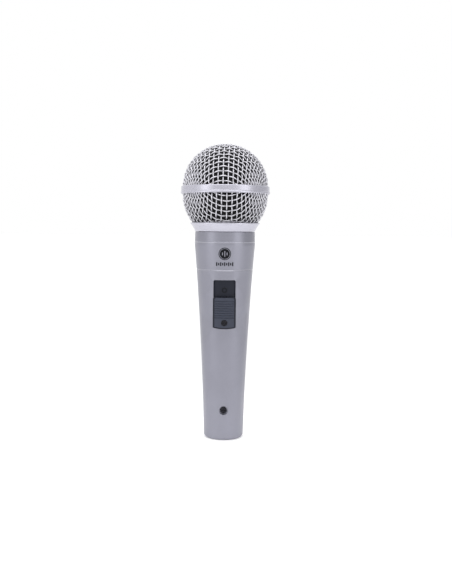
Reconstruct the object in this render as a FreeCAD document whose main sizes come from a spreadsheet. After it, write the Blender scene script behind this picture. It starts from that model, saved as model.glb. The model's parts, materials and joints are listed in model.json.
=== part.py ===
"""Handheld dynamic vocal microphone with a slide switch, as an assembly of separate sub-parts.

Millimetres. +Z runs up the microphone from the connector to the ball grille, the switch faces -Y,
and the origin is the centre of the flat foot rim around the connector socket.
"""
import FreeCAD
import Part
import math
import os
from types import SimpleNamespace

import Sketcher

# Driving dimensions, in millimetres and degrees.
SIZES = {
    # Die-cast handle
    "foot_radius": 11.10,
    "foot_round": 1.6,
    "foot_land": 9.45,
    "body_radius": 17.17,
    "taper_bow": 1850.0,
    "taper_top": 108.8,
    "lip_level": 110.7,
    "lip_height": 0.65,
    "lip_land": 0.15,
    "lip_stand": 0.2,
    "turned_line_level": 95.1,
    "turned_line_width": 0.5,
    "turned_line_depth": 0.15,
    "shoulder_level": 116.5,
    "shoulder_inset": 0.15,
    "shoulder_bevel": 0.15,
    "spigot_radius": 14.3,
    "spigot_top": 123.2,
    "throat_radius": 13.2,
    "throat_level": 100.0,
    "cavity_radius": 9.4,
    "cavity_level": 26.0,
    # Connector socket and insert
    "socket_radius": 8.0,
    "socket_bevel": 0.5,
    "insert_play": 0.05,
    "insert_bevel": 0.4,
    "insert_face": 13.6,
    "insert_top": 22.0,
    "contact_radius": 1.2,
    "contact_body_radius": 1.45,
    "contact_circle": 4.35,
    "contact_spread": 54.7,
    "contact_tip": 1.9,
    "contact_tip_bevel": 0.5,
    "contact_back": 26.5,
    "solder_cup_radius": 0.9,
    "solder_cup_depth": 3.0,
    "latch_width": 3.2,
    "latch_level": 8.5,
    "latch_height": 2.6,
    "latch_depth": 0.9,
    "lock_level": 16.9,
    "lock_head_radius": 1.9,
    "lock_head_height": 0.8,
    "lock_shank_radius": 1.25,
    "lock_recess_radius": 2.45,
    "lock_recess_depth": 1.6,
    "lock_tip": 6.0,
    "lock_play": 0.1,
    # Ground spring from contact 1 to the handle
    "spring_wall": 0.3,
    "spring_eye": 1.9,
    "spring_width": 2.8,
    "spring_leg": 7.75,
    "spring_leg_low": 15.2,
    "spring_slot_wall": 0.2,
    # Switch opening and bezel
    "slot_low": 63.5,
    "slot_high": 89.8,
    "slot_width": 12.3,
    "slot_corner": 0.9,
    "bezel_play": 0.1,
    "bezel_recess": 0.9,
    "bezel_flange": 1.2,
    "bezel_lap": 2.2,
    "bezel_side_lap": 1.0,
    "wall_play": 0.05,
    "window_play": 0.3,
    "window_front": -2.0,
    # Slider
    "travel_middle": 75.2,
    "switch_travel": 7.0,
    "switch_tilt": 3.9,
    "slider_low": 62.6,
    "slider_high": 80.4,
    "slider_width": 12.8,
    "slider_corner": 0.8,
    "slider_top_corner": 1.3,
    "slider_bow": 0.45,
    "slider_play": 0.15,
    "carriage_wall": 0.5,
    "cap_wall": 1.25,
    "cap_play": 0.01,
    "cap_side_margin": 0.95,
    "cap_top_margin": 0.3,
    "cap_low_margin": 0.8,
    "cap_corner": 0.4,
    "rib_pitch": 1.3,
    "rib_depth": 0.3,
    "rib_clearance": 1.1,
    "stem_width": 3.6,
    "stem_height": 3.0,
    "stem_tip": 4.7,
    "stem_root": -0.3,
    "boss_radius": 1.8,
    "boss_tip": 0.65,
    "slider_screw_level": 66.3,
    "slider_screw_radius": 1.6,
    "slider_screw_face": -1.7,
    "slider_screw_head": 0.65,
    "slider_screw_shank": 0.8,
    "slider_screw_tip": 0.4,
    "counterbore_floor": -1.0,
    # Slide switch and its board
    "can_width": 8.0,
    "can_height": 20.0,
    "can_front": 5.1,
    "can_back": 9.6,
    "can_wall": 0.4,
    "can_window": 3.0,
    "can_play": 0.05,
    "wafer_front": 8.6,
    "wafer_pin_radius": 0.45,
    "wafer_pin_tip": 11.4,
    "wafer_pin_side": 2.5,
    "wafer_pin_pitch": 6.0,
    "lever_front": 4.35,
    "lever_back": 5.0,
    "lever_width": 4.8,
    "lever_height": 6.0,
    "tongue_width": 2.4,
    "tongue_back": 7.4,
    "bridge_width": 5.6,
    "bridge_height": 2.6,
    "bridge_back": 7.75,
    "bridge_foot_side": 2.5,
    "bridge_foot_width": 0.6,
    "bridge_foot_back": 8.55,
    "board_width": 9.6,
    "board_height": 28.8,
    "board_wall": 1.2,
    "post_spacing": 24.6,
    "post_radius": 1.7,
    "post_front": 3.4,
    "post_bore": 1.0,
    "post_bore_front": 6.6,
    "board_screw_radius": 1.8,
    "board_screw_head": 0.9,
    "board_screw_shank": 0.95,
    "board_screw_length": 4.0,
    "board_hole_play": 0.1,
    # Capsule
    "capsule_base": 129.0,
    "capsule_radius": 12.5,
    "capsule_height": 18.0,
    "capsule_wall": 0.9,
    "capsule_floor": 1.2,
    "capsule_opening": 6.5,
    "port_width": 3.2,
    "port_low": 14.6,
    "port_high": 17.0,
    "port_corner": 0.6,
    "felt_bore": 6.8,
    "felt_wall": 0.7,
    "yoke_level": 2.0,
    "yoke_height": 9.0,
    "yoke_floor": 2.2,
    "yoke_radius": 11.5,
    "yoke_bore": 9.9,
    "yoke_vent": 1.0,
    "magnet_radius": 7.2,
    "pole_radius": 7.7,
    "pole_level": 11.0,
    "pole_wall": 2.0,
    "gap_radius": 8.8,
    "coil_radius": 8.05,
    "coil_wall": 0.4,
    "coil_level": 9.6,
    "coil_height": 4.3,
    "film": 0.15,
    "film_level": 13.9,
    "film_play": 0.05,
    "dome_rise": 2.7,
    "roll_rise": 1.15,
    "clamp_bore": 10.5,
    "clamp_wall": 1.0,
    "front_level": 14.2,
    "front_wall": 0.9,
    "front_vent": 0.9,
    "front_middle_vent": 1.3,
    "front_inner_circle": 4.2,
    "front_outer_circle": 8.0,
    "screen_wall": 0.6,
    "screen_inset": 0.5,
    "chamber_radius": 10.6,
    "chamber_low": 108.0,
    "chamber_floor": 1.0,
    "terminal_radius": 8.0,
    "terminal_wall": 1.2,
    "tag_side": 3.0,
    "tag_width": 2.0,
    "tag_wall": 0.3,
    "tag_low": 102.8,
    "tag_play": 0.1,
    "mount_radius": 14.2,
    "mount_neck": 1.3,
    "mount_lip": 1.7,
    "mount_bevel": 0.2,
    "mount_neck_top": 3.5,
    "mount_cup": 3.0,
    # Grille
    "mesh_radius": 24.47,
    "mesh_wall": 0.34,
    "upper_centre": 142.4,
    "lower_centre": 137.1,
    "mesh_lap": 1.95,
    "band_low": 137.95,
    "band_high": 142.35,
    "band_radius": 25.5,
    "band_bore": 24.62,
    "band_web_radius": 23.95,
    "band_web": 2.0,
    "band_round": 0.35,
    "band_slope_low": 0.95,
    "band_slope_high": 1.4,
    "band_inset": 0.27,
    "band_chamfer": 0.35,
    "collar_low": 116.65,
    "collar_radius": 17.2,
    "collar_rim_radius": 19.8,
    "collar_top": 121.6,
    "collar_ledge": 120.85,
    "collar_bow": 12.0,
    "collar_bevel": 0.25,
    "collar_edge": 0.5,
    "collar_round": 0.15,
    "collar_lip": 0.39,
    "collar_bore": 15.15,
    "sleeve_radius": 16.3,
    "sleeve_top": 124.6,
    "foam_radius": 22.9,
    "foam_bore": 20.6,
    "foam_neck": 16.45,
    "foam_low": 122.6,
    # Wiring
    "lead_radius": 0.55,
}

SLIDER_RIBS = 8


class Size:
    """A length together with the spreadsheet expression that gives it."""

    def __init__(self, value, text):
        self.value = value
        self.text = text

    def __add__(self, other):
        other = as_size(other)
        return Size(self.value + other.value, f"({self.text} + {other.text})")

    def __radd__(self, other):
        return as_size(other) + self

    def __sub__(self, other):
        other = as_size(other)
        return Size(self.value - other.value, f"({self.text} - {other.text})")

    def __rsub__(self, other):
        return as_size(other) - self

    def __mul__(self, other):
        other = as_size(other)
        return Size(self.value * other.value, f"({self.text} * {other.text})")

    def __rmul__(self, other):
        return as_size(other) * self

    def __truediv__(self, other):
        other = as_size(other)
        return Size(self.value / other.value, f"({self.text} / {other.text})")

    def __neg__(self):
        return Size(-self.value, f"(0 - {self.text})")


def as_size(number):
    """A plain number as a Size, so that both can stand in one formula."""
    return number if isinstance(number, Size) else Size(float(number), f"({float(number)})")


def root(size):
    return Size(math.sqrt(size.value), f"sqrt({size.text})")


def sine(size):
    """Sine of an angle that the sheet holds in plain degrees."""
    return Size(math.sin(math.radians(size.value)), f"sin({size.text} * 1 deg)")


def cosine(size):
    """Cosine of an angle that the sheet holds in plain degrees."""
    return Size(math.cos(math.radians(size.value)), f"cos({size.text} * 1 deg)")


def write_sheet(document):
    """Put the driving dimensions in a spreadsheet and return them as Size values."""
    sheet = document.addObject("Spreadsheet::Sheet", "sizes")
    for row, (alias, value) in enumerate(SIZES.items(), start=1):
        sheet.set(f"A{row}", alias)
        sheet.set(f"B{row}", str(value))
        sheet.setAlias(f"B{row}", alias)
    document.recompute()
    return SimpleNamespace(**{alias: Size(sheet.get(alias), f"sizes.{alias}") for alias in SIZES})


doc = FreeCAD.newDocument("microphone")
s = write_sheet(doc)
nodes = []


# ---------------------------------------------------------------- building blocks

def bind(feature, **properties):
    """Drive a feature's size properties from the sheet."""
    for name, size in properties.items():
        feature.setExpression(name, as_size(size).text)


def place(feature, x=0, y=0, z=0):
    """Drive a feature's position from the sheet."""
    for axis, size in (("x", x), ("y", y), ("z", z)):
        feature.setExpression(f"Placement.Base.{axis}", as_size(size).text)


class Outline:
    """The geometry and constraints of one closed outline, added to a sketch in one go.

    A corner is (x, y), reached by a straight line, or (x, y, radius), reached by an arc: a positive
    radius has its centre on the left of the way there, a negative one on the right.
    """

    def __init__(self, corners):
        self.geometry = []
        self.constraints = []
        self.expressions = []
        edges = [self.add_edge(corner, corners[(index + 1) % len(corners)])
                 for index, corner in enumerate(corners)]
        for index, corner in enumerate(corners):
            edge, start, _ = edges[index]
            before, _, finish = edges[index - 1]
            self.constraints.append(Sketcher.Constraint("Coincident", before, finish, edge, start))
            for kind, axis, number in (("DistanceX", -2, corner[0]), ("DistanceY", -1, corner[1])):
                self.pin(kind, axis, edge, start, as_size(number))

    def measure(self, constraint, size):
        """Add a constraint whose value the sheet drives."""
        self.expressions.append((len(self.constraints), size.text))
        self.constraints.append(constraint)

    def pin(self, kind, axis, edge, end, size):
        """Fix one coordinate of an edge's end; a coordinate of 0 lies on the sketch's own axis."""
        if size.value == 0:
            self.constraints.append(Sketcher.Constraint("PointOnObject", edge, end, axis))
        elif size.value > 0:
            self.measure(Sketcher.Constraint(kind, -1, 1, edge, end, size.value), size)
        else:
            self.measure(Sketcher.Constraint(kind, edge, end, -1, 1, -size.value), -size)

    def add_edge(self, start, finish):
        """Add a line or an arc; returns its number and which of its ends come first and last."""
        first, last = (FreeCAD.Vector(*(as_size(number).value for number in corner[:2]), 0)
                       for corner in (start, finish))
        number = len(self.geometry)
        if len(finish) == 2:
            self.geometry.append(Part.LineSegment(first, last))
            return number, 1, 2
        radius = as_size(finish[2])
        leftward = radius.value > 0
        chord = last - first
        to_left = FreeCAD.Vector(-chord.y, chord.x, 0) / chord.Length
        rise = math.sqrt(radius.value ** 2 - (chord.Length / 2) ** 2)
        centre = (first + last) / 2 + to_left * (rise if leftward else -rise)
        ends = (first, last) if leftward else (last, first)
        begin, end = (math.atan2(point.y - centre.y, point.x - centre.x) for point in ends)
        if end < begin:
            end += 2 * math.pi
        circle = Part.Circle(centre, FreeCAD.Vector(0, 0, 1), abs(radius.value))
        self.geometry.append(Part.ArcOfCircle(circle, begin, end))
        size = radius if leftward else -radius
        self.measure(Sketcher.Constraint("Radius", number, size.value), size)
        return (number, 1, 2) if leftward else (number, 2, 1)


def outline_sketch(body, plane, corners):
    """Sketch a closed outline on one of the body's origin planes."""
    sketch = body.newObject("Sketcher::SketchObject", f"{body.Name}_outline")
    support = next(item for item in body.Origin.OriginFeatures if item.Role == plane)
    sketch.AttachmentSupport = (support, [""])
    sketch.MapMode = "FlatFace"
    outline = Outline(corners)
    sketch.addGeometry(outline.geometry, False)
    sketch.addConstraint(outline.constraints)
    for index, text in outline.expressions:
        sketch.setExpression(f"Constraints[{index}]", text)
    return sketch


def turned(label, corners, z=0):
    """A body turned about Z from an outline in radius and height, standing at height z."""
    body = doc.addObject("PartDesign::Body", label)
    sketch = outline_sketch(body, "XZ_Plane", corners)
    turn = body.newObject("PartDesign::Revolution", f"{label}_turn")
    turn.Profile = sketch
    turn.ReferenceAxis = (sketch, ["V_Axis"])
    turn.Angle = 360
    place(body, z=z)
    return body


def ring(label, inner, outer, height, z=0):
    """A plain turned ring, or a disc when inner is 0."""
    return turned(label, [(inner, 0), (outer, 0), (outer, height), (inner, height)], z)


def rounded_rectangle(half_width, low, high, corner):
    """Outline corners of an upright rectangle with four rounded corners."""
    return [
        (half_width - corner, low), (half_width, low + corner, corner),
        (half_width, high - corner), (half_width - corner, high, corner),
        (corner - half_width, high), (-half_width, high - corner, corner),
        (-half_width, low + corner), (corner - half_width, low, corner),
    ]


def front_prism(label, corners):
    """A prism of an outline in X and Z, from the axis out to the front, past every wall."""
    body = doc.addObject("PartDesign::Body", label)
    sketch = outline_sketch(body, "XZ_Plane", corners)
    pad = body.newObject("PartDesign::Pad", f"{label}_pad")
    pad.Profile = sketch
    bind(pad, Length=s.body_radius * 1.2)
    return body


def box(label, low, high):
    """A box between two corners, given as (x, y, z)."""
    solid = doc.addObject("Part::Box", label)
    bind(solid, Length=high[0] - as_size(low[0]), Width=high[1] - as_size(low[1]),
         Height=high[2] - as_size(low[2]))
    place(solid, *low)
    return solid


def rod(label, radius, length, x=0, y=0, z=0):
    """A cylinder that rises along Z from a point."""
    solid = doc.addObject("Part::Cylinder", label)
    bind(solid, Radius=radius, Height=length)
    place(solid, x, y, z)
    return solid


def inward_rod(label, radius, y_from, y_to, x=0, z=0):
    """A cylinder along +Y, from y_from in to y_to."""
    solid = rod(label, radius, y_to - as_size(y_from), x, y_from, z)
    solid.Placement.Rotation = FreeCAD.Rotation(FreeCAD.Vector(1, 0, 0), -90)
    return solid


def cut(label, base, *tools):
    result = doc.addObject("Part::Cut", label)
    result.Base = base
    result.Tool = tools[0] if len(tools) == 1 else fuse(f"{label}_tools", *tools)
    return result


def fuse(label, *solids):
    result = doc.addObject("Part::MultiFuse", label)
    result.Shapes = list(solids)
    return result


def group(label, *solids):
    """Separate solids held as one shape."""
    result = doc.addObject("Part::Compound", label)
    result.Links = list(solids)
    return result


def common(label, first, second):
    result = doc.addObject("Part::MultiCommon", label)
    result.Shapes = [first, second]
    return result


def cross_recess(label, head_radius, y_from, y_to, z):
    """The crossed slots of a screw head, cut along +Y."""
    half_width = head_radius * 0.7
    arm = head_radius * 0.2
    flat = box(f"{label}_flat", (-half_width, y_from, z - arm), (half_width, y_to, z + arm))
    tall = box(f"{label}_tall", (-arm, y_from, z - half_width), (arm, y_to, z + half_width))
    return fuse(label, flat, tall)


def tilt_with_slider(feature):
    """Move a feature drawn in the switch's frame to its place under the sloping handle wall.

    The switch's frame lies on the handle's front surface at mid travel: X across, +Y into the
    handle and Z along the slider's path.
    """
    front = FreeCAD.Vector(0, -handle_radius(s.travel_middle).value, s.travel_middle.value)
    tilt = FreeCAD.Rotation(FreeCAD.Vector(1, 0, 0), s.switch_tilt.value)
    feature.Placement = FreeCAD.Placement(front, tilt)
    return feature


def keep(feature):
    """Name a finished sub-part as a node of the assembly."""
    nodes.append(feature)
    return feature


# ---------------------------------------------------------------- shared geometry

def handle_radius(level):
    """Outside radius of the handle's bowed taper at a height."""
    rise = s.taper_top - s.foot_round
    spread = s.body_radius - s.foot_radius
    chord = root(rise * rise + spread * spread)
    offset = root(s.taper_bow * s.taper_bow - chord * chord / 4)
    centre_radius = (s.foot_radius + s.body_radius) / 2 + offset * rise / chord
    centre_level = (s.foot_round + s.taper_top) / 2 - offset * spread / chord
    height = level - centre_level
    return centre_radius - root(s.taper_bow * s.taper_bow - height * height)


def cavity_radius(level):
    """Inside radius of the handle's conical cavity at a height."""
    slope = (s.throat_radius - s.cavity_radius) / (s.throat_level - s.cavity_level)
    return s.cavity_radius + slope * (level - s.cavity_level)


def wall_shell(label, low, high, outer, inner):
    """A turned shell between two heights; outer and inner give its radii at a height."""
    return turned(label, [(inner(low), low), (outer(low), low), (outer(high), high), (inner(high), high)])


def contact_places():
    """The three contacts as (x, y): 1 and 2 towards the latch at the back, 3 at the front."""
    side = s.contact_circle * sine(s.contact_spread)
    back = s.contact_circle * cosine(s.contact_spread)
    return [(side, back), (-side, back), (0, -s.contact_circle)]


# ---------------------------------------------------------------- handle

def make_handle():
    shoulder_radius = s.body_radius - s.shoulder_inset
    blank = turned("handle_blank", [
        (s.socket_radius + s.socket_bevel, 0),
        (s.foot_land, 0),
        (s.foot_radius, s.foot_round, (s.foot_radius - s.foot_land) * 1.1),
        (s.body_radius, s.taper_top, -s.taper_bow),
        (s.body_radius, s.lip_level - s.lip_height / 2),
        (s.body_radius + s.lip_stand, s.lip_level - s.lip_land / 2),
        (s.body_radius + s.lip_stand, s.lip_level + s.lip_land / 2),
        (s.body_radius, s.lip_level + s.lip_height / 2),
        (shoulder_radius, s.shoulder_level - s.shoulder_bevel),
        (shoulder_radius - s.shoulder_bevel, s.shoulder_level),
        (s.spigot_radius, s.shoulder_level),
        (s.spigot_radius, s.spigot_top - s.shoulder_bevel),
        (s.spigot_radius - s.shoulder_bevel, s.spigot_top),
        (s.throat_radius, s.spigot_top),
        (s.throat_radius, s.throat_level),
        (s.cavity_radius, s.cavity_level),
        (s.socket_radius, s.insert_top + s.socket_bevel),
        (s.socket_radius, s.socket_bevel),
    ])
    line_radius = handle_radius(s.turned_line_level)
    turned_line = turned("turned_line_tool", [
        (line_radius - s.turned_line_depth, s.turned_line_level),
        (line_radius + s.turned_line_depth, s.turned_line_level - s.turned_line_width),
        (line_radius + s.turned_line_depth, s.turned_line_level + s.turned_line_width),
    ])
    slot = front_prism("slot_tool", rounded_rectangle(
        s.slot_width / 2, s.slot_low, s.slot_high, s.slot_corner))
    lock_front = -(handle_radius(s.lock_level) + s.lock_recess_depth)
    lock_floor = -(handle_radius(s.lock_level) - s.lock_recess_depth)
    lock_recess = inward_rod("lock_recess_tool", s.lock_recess_radius, lock_front, lock_floor,
                             z=s.lock_level)
    lock_hole = inward_rod("lock_hole_tool", s.lock_shank_radius + s.lock_play, lock_front, -s.lock_tip,
                           z=s.lock_level)
    latch = box("latch_tool",
                (-s.latch_width / 2, s.socket_radius - s.socket_bevel, s.latch_level),
                (s.latch_width / 2, s.socket_radius + s.latch_depth, s.latch_level + s.latch_height))
    keep(cut("handle", blank, turned_line, slot, lock_recess, lock_hole, latch))


# ---------------------------------------------------------------- connector

def make_contacts():
    length = s.contact_back - s.contact_tip
    for number, (x, y) in enumerate(contact_places(), start=1):
        contact = turned(f"xlr_pin_{number}", [
            (0, 0),
            (s.contact_radius - s.contact_tip_bevel, 0),
            (s.contact_radius, s.contact_tip_bevel, s.contact_tip_bevel * 1.05),
            (s.contact_radius, s.insert_face - s.contact_tip),
            (s.contact_body_radius, s.insert_face - s.contact_tip),
            (s.contact_body_radius, length),
            (s.solder_cup_radius, length),
            (s.solder_cup_radius, length - s.solder_cup_depth),
            (0, length - s.solder_cup_depth),
        ])
        place(contact, x, y, s.contact_tip)
        keep(contact)


def make_insert():
    height = s.insert_top - s.insert_face
    side = s.socket_radius - s.insert_play
    blank = turned("insert_blank", [
        (0, 0), (side - s.insert_bevel, 0), (side, s.insert_bevel), (side, height), (0, height),
    ], z=s.insert_face)
    holes = [rod(f"contact_hole_{number}", s.contact_body_radius + 0.02, height + 2, x, y,
                 s.insert_face - 1)
             for number, (x, y) in enumerate(contact_places(), start=1)]
    lock = inward_rod("insert_lock_tool", s.lock_shank_radius + s.insert_play, -s.socket_radius - 1,
                      s.lock_play - s.lock_tip, z=s.lock_level)
    half_slot = s.spring_width / 2 + s.spring_slot_wall
    spring_slot = box("spring_slot_tool",
                      (s.spring_leg - s.spring_wall - s.spring_slot_wall, -half_slot,
                       s.spring_leg_low - s.insert_bevel),
                      (s.socket_radius + 1, half_slot, s.insert_top + 1))
    keep(cut("xlr_insert", blank, *holes, lock, spring_slot))


def make_ground_spring():
    x, y = contact_places()[0]
    half, top = s.spring_width / 2, s.insert_top + s.spring_wall
    plate = box("spring_plate", (x - s.spring_eye, y - s.spring_eye, s.insert_top),
                (x + s.spring_eye, y + s.spring_eye - 0.2, top))
    tongue = box("spring_tongue", (x - s.spring_eye, -half, s.insert_top), (s.spring_leg, half, top))
    leg = box("spring_leg", (s.spring_leg - s.spring_wall, -half, s.spring_leg_low),
              (s.spring_leg, half, top))
    strip = fuse("spring_strip", plate, tongue, leg)
    hole = rod("spring_hole", s.contact_body_radius + 0.03, 2, x, y, s.insert_top - 1)
    keep(cut("ground_spring", strip, hole))


def make_lock_screw():
    floor = s.lock_recess_depth - handle_radius(s.lock_level)
    face = floor - s.lock_head_height
    head = inward_rod("lock_head", s.lock_head_radius, face, floor, z=s.lock_level)
    shank = inward_rod("lock_shank", s.lock_shank_radius, floor - 0.1, -s.lock_tip, z=s.lock_level)
    screw = fuse("lock_blank", head, shank)
    recess = cross_recess("lock_cross", s.lock_head_radius, face - 0.2, floor - 0.2, s.lock_level)
    keep(cut("insert_screw", screw, recess))


# ---------------------------------------------------------------- slide switch

def post_levels():
    """Names and heights of the two posts and board screws, in the switch's frame."""
    return [("low", -s.post_spacing / 2), ("high", s.post_spacing / 2)]


def make_bezel():
    def plate_radius(level):
        return handle_radius(level) - s.bezel_recess

    def flange_radius(level):
        return cavity_radius(level) - s.wall_play

    def inner_radius(level):
        return flange_radius(level) - s.bezel_flange

    plate_low, plate_high = s.slot_low + s.bezel_play, s.slot_high - s.bezel_play
    plate_shell = wall_shell("bezel_plate_shell", plate_low - 1, plate_high + 1, plate_radius, inner_radius)
    plate_form = front_prism("bezel_plate_form", rounded_rectangle(
        s.slot_width / 2 - s.bezel_play, plate_low, plate_high, s.slot_corner - s.bezel_play))
    flange_low, flange_high = s.slot_low - s.bezel_lap, s.slot_high + s.bezel_lap
    flange_shell = wall_shell("bezel_flange_shell", flange_low - 1, flange_high + 1, flange_radius,
                              inner_radius)
    flange_form = front_prism("bezel_flange_form", rounded_rectangle(
        s.slot_width / 2 + s.bezel_side_lap, flange_low, flange_high, s.slot_corner))
    posts = []
    for name, level in post_levels():
        post = inward_rod(f"bezel_post_{name}", s.post_radius, s.post_front, s.can_back, z=level)
        hole = inward_rod(f"bezel_post_hole_{name}", s.post_bore, s.post_bore_front, s.can_back + 1,
                          z=level)
        posts.append(cut(f"bezel_post_tube_{name}", post, hole))
    post_pair = tilt_with_slider(fuse("bezel_posts", *posts))
    solid = fuse("bezel_blank", common("bezel_plate", plate_shell, plate_form),
                 common("bezel_flange", flange_shell, flange_form), post_pair)
    half = s.stem_width / 2 + s.window_play
    reach = (s.switch_travel + s.stem_height) / 2 + s.window_play - 0.1
    window = box("bezel_window_tool", (-half, s.window_front, -reach), (half, s.can_back, reach))
    keep(cut("switch_bezel", solid, tilt_with_slider(group("bezel_window", window))))


def slider_outline(side, top, bottom, corner):
    """The slider's outline, set in by three margins, with a gently bowed bottom edge."""
    half = s.slider_width / 2 - side
    low, high = s.slider_low + bottom, s.slider_high - top
    ends = low + s.slider_bow
    bow = (half - corner) * (half - corner) / (2 * s.slider_bow)
    crown = s.slider_top_corner
    return [
        (corner - half, ends, corner), (half - corner, ends, bow), (half, ends + corner, corner),
        (half, high - crown), (half - crown, high, crown),
        (crown - half, high), (-half, high - crown, crown), (-half, ends + corner),
    ]


def stem_level():
    """Height of the slider's stem at rest, in the switch's frame."""
    return -s.switch_travel / 2


def screw_level():
    """Height of the slider's screw at rest, in the switch's frame."""
    return s.slider_screw_level - s.travel_middle


def make_carriage():
    def under(level):
        return handle_radius(level) + s.slider_play

    def over(level):
        return under(level) + s.carriage_wall

    shell = wall_shell("carriage_shell", s.slider_low - 1, s.slider_high + 1, over, under)
    form = front_prism("carriage_form", slider_outline(0, 0, 0, s.slider_corner))
    saddle = common("carriage_saddle", shell, form)
    level = stem_level()
    stem = box("carriage_stem", (-s.stem_width / 2, s.stem_root, level - s.stem_height / 2),
               (s.stem_width / 2, s.stem_tip, level + s.stem_height / 2))
    boss = inward_rod("carriage_boss", s.boss_radius, s.stem_root, s.boss_tip, z=screw_level())
    below = fuse("carriage_below", stem, boss)
    hole = inward_rod("carriage_screw_hole", s.slider_screw_shank + 0.05, -2, s.boss_tip + 1,
                      z=screw_level())
    keep(cut("slider_carriage", fuse("carriage_blank", saddle, tilt_with_slider(below)),
             tilt_with_slider(group("carriage_hole", hole))))


def make_slider_cap():
    base = s.slider_play + s.carriage_wall + s.cap_play
    top = base + s.cap_wall
    low, high = s.slider_low - 1, s.slider_high + 1
    corners = [(handle_radius(low) + base, low), (handle_radius(low) + top, low)]
    first_rib = s.slider_screw_level + s.slider_screw_radius + s.rib_clearance
    quarter = s.rib_pitch / 4
    for rib in range(SLIDER_RIBS):
        groove = first_rib + s.rib_pitch * rib
        surface = handle_radius(groove) + top
        corners += [(surface, groove - quarter), (surface - s.rib_depth, groove - quarter / 2),
                    (surface - s.rib_depth, groove + quarter / 2), (surface, groove + quarter)]
    corners += [(handle_radius(high) + top, high), (handle_radius(high) + base, high)]
    shell = turned("cap_shell", corners)
    form = front_prism("cap_form", slider_outline(
        s.cap_side_margin, s.cap_top_margin, s.cap_low_margin, s.cap_corner))
    cap = common("cap_blank", shell, form)
    counterbore = inward_rod("cap_counterbore", s.slider_screw_radius + 0.2, -6, s.counterbore_floor,
                             z=screw_level())
    hole = inward_rod("cap_hole", s.slider_screw_shank + 0.2, -6, 2, z=screw_level())
    keep(cut("slider_cap", cap, tilt_with_slider(fuse("cap_holes", counterbore, hole))))


def make_slider_screw():
    level = screw_level()
    face = s.slider_screw_face
    floor = face + s.slider_screw_head
    head = inward_rod("slider_screw_head", s.slider_screw_radius, face, floor, z=level)
    shank = inward_rod("slider_screw_shank", s.slider_screw_shank, floor - 0.1, s.slider_screw_tip,
                       z=level)
    recess = cross_recess("slider_screw_cross", s.slider_screw_radius, face - 0.3, floor - 0.1, level)
    keep(tilt_with_slider(cut("slider_screw", fuse("slider_screw_blank", head, shank), recess)))


def wafer_pin_places():
    """Names, sides and heights of the switch's six solder pins, in the switch's frame."""
    return [(f"{column}_{row}", s.wafer_pin_side * column, s.wafer_pin_pitch * row)
            for column in (-1, 1) for row in (-1, 0, 1)]


def make_switch():
    half, tall = s.can_width / 2, s.can_height / 2
    outside = box("can_outside", (-half, s.can_front, -tall), (half, s.can_back, tall))
    half_inside, tall_inside = half - s.can_wall, tall - s.can_wall
    inside = box("can_inside", (-half_inside, s.can_front + s.can_wall, -tall_inside),
                 (half_inside, s.can_back + 1, tall_inside))
    half_window = s.can_window / 2
    reach = s.switch_travel / 2 + half_window
    window = box("can_window", (-half_window, s.can_front - 1, -reach),
                 (half_window, s.can_front + 1, reach))
    keep(tilt_with_slider(cut("switch_can", outside, inside, window)))

    half_wafer, tall_wafer = half_inside - s.can_play, tall_inside - s.can_play
    wafer = box("wafer_plate", (-half_wafer, s.wafer_front, -tall_wafer),
                (half_wafer, s.can_back - s.can_play, tall_wafer))
    pins = [inward_rod(f"wafer_pin_{name}", s.wafer_pin_radius, s.wafer_front + 0.1, s.wafer_pin_tip,
                       x=side, z=height) for name, side, height in wafer_pin_places()]
    keep(tilt_with_slider(fuse("switch_wafer", wafer, *pins)))

    level = stem_level()
    half_lever, tall_lever = s.lever_width / 2, s.lever_height / 2
    head = box("lever_head", (-half_lever, s.lever_front, level - tall_lever),
               (half_lever, s.lever_back, level + tall_lever))
    half_pocket, tall_pocket = (size / 2 + s.can_play for size in (s.stem_width, s.stem_height))
    pocket = box("lever_pocket", (-half_pocket, s.lever_front - 1, level - tall_pocket),
                 (half_pocket, s.stem_tip + s.can_play, level + tall_pocket))
    half_tongue = s.tongue_width / 2
    tongue = box("lever_tongue", (-half_tongue, s.lever_back - 0.1, level - half_tongue),
                 (half_tongue, s.tongue_back, level + half_tongue))
    keep(tilt_with_slider(fuse("switch_lever", cut("lever_plate", head, pocket), tongue)))

    half_bridge, tall_bridge = s.bridge_width / 2, s.bridge_height / 2
    bridge = box("contact_bridge", (-half_bridge, s.tongue_back, level - tall_bridge),
                 (half_bridge, s.bridge_back, level + tall_bridge))
    feet = []
    for name, side in (("left", -1), ("right", 1)):
        middle = s.bridge_foot_side * side
        feet.append(box(f"contact_foot_{name}",
                        (middle - s.bridge_foot_width / 2, s.bridge_back - 0.15, level - tall_bridge),
                        (middle + s.bridge_foot_width / 2, s.bridge_foot_back, level + tall_bridge)))
    keep(tilt_with_slider(fuse("switch_contact", bridge, *feet)))


def make_board():
    half, tall = s.board_width / 2, s.board_height / 2
    front, back = s.can_back, s.can_back + s.board_wall
    plate = box("board_plate", (-half, front, -tall), (half, back, tall))
    pin_holes = [inward_rod(f"board_pin_hole_{name}", s.wafer_pin_radius + 0.05, front - 1, back + 1,
                            x=side, z=height) for name, side, height in wafer_pin_places()]
    screw_holes = [inward_rod(f"board_screw_hole_{name}", s.board_screw_shank + s.board_hole_play,
                              front - 1, back + 1, z=level) for name, level in post_levels()]
    keep(tilt_with_slider(cut("switch_board", plate, *pin_holes, *screw_holes)))

    screws = []
    for name, level in post_levels():
        face = back + s.board_screw_head
        head = inward_rod(f"board_screw_head_{name}", s.board_screw_radius, back, face, z=level)
        shank = inward_rod(f"board_screw_shank_{name}", s.board_screw_shank,
                           back - s.board_screw_length, back + 0.1, z=level)
        recess = cross_recess(f"board_screw_cross_{name}", s.board_screw_radius, face - 0.5, face + 1,
                              level)
        screws.append(cut(f"board_screw_{name}", fuse(f"board_screw_blank_{name}", head, shank), recess))
    keep(tilt_with_slider(group("board_screws", *screws)))


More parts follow.
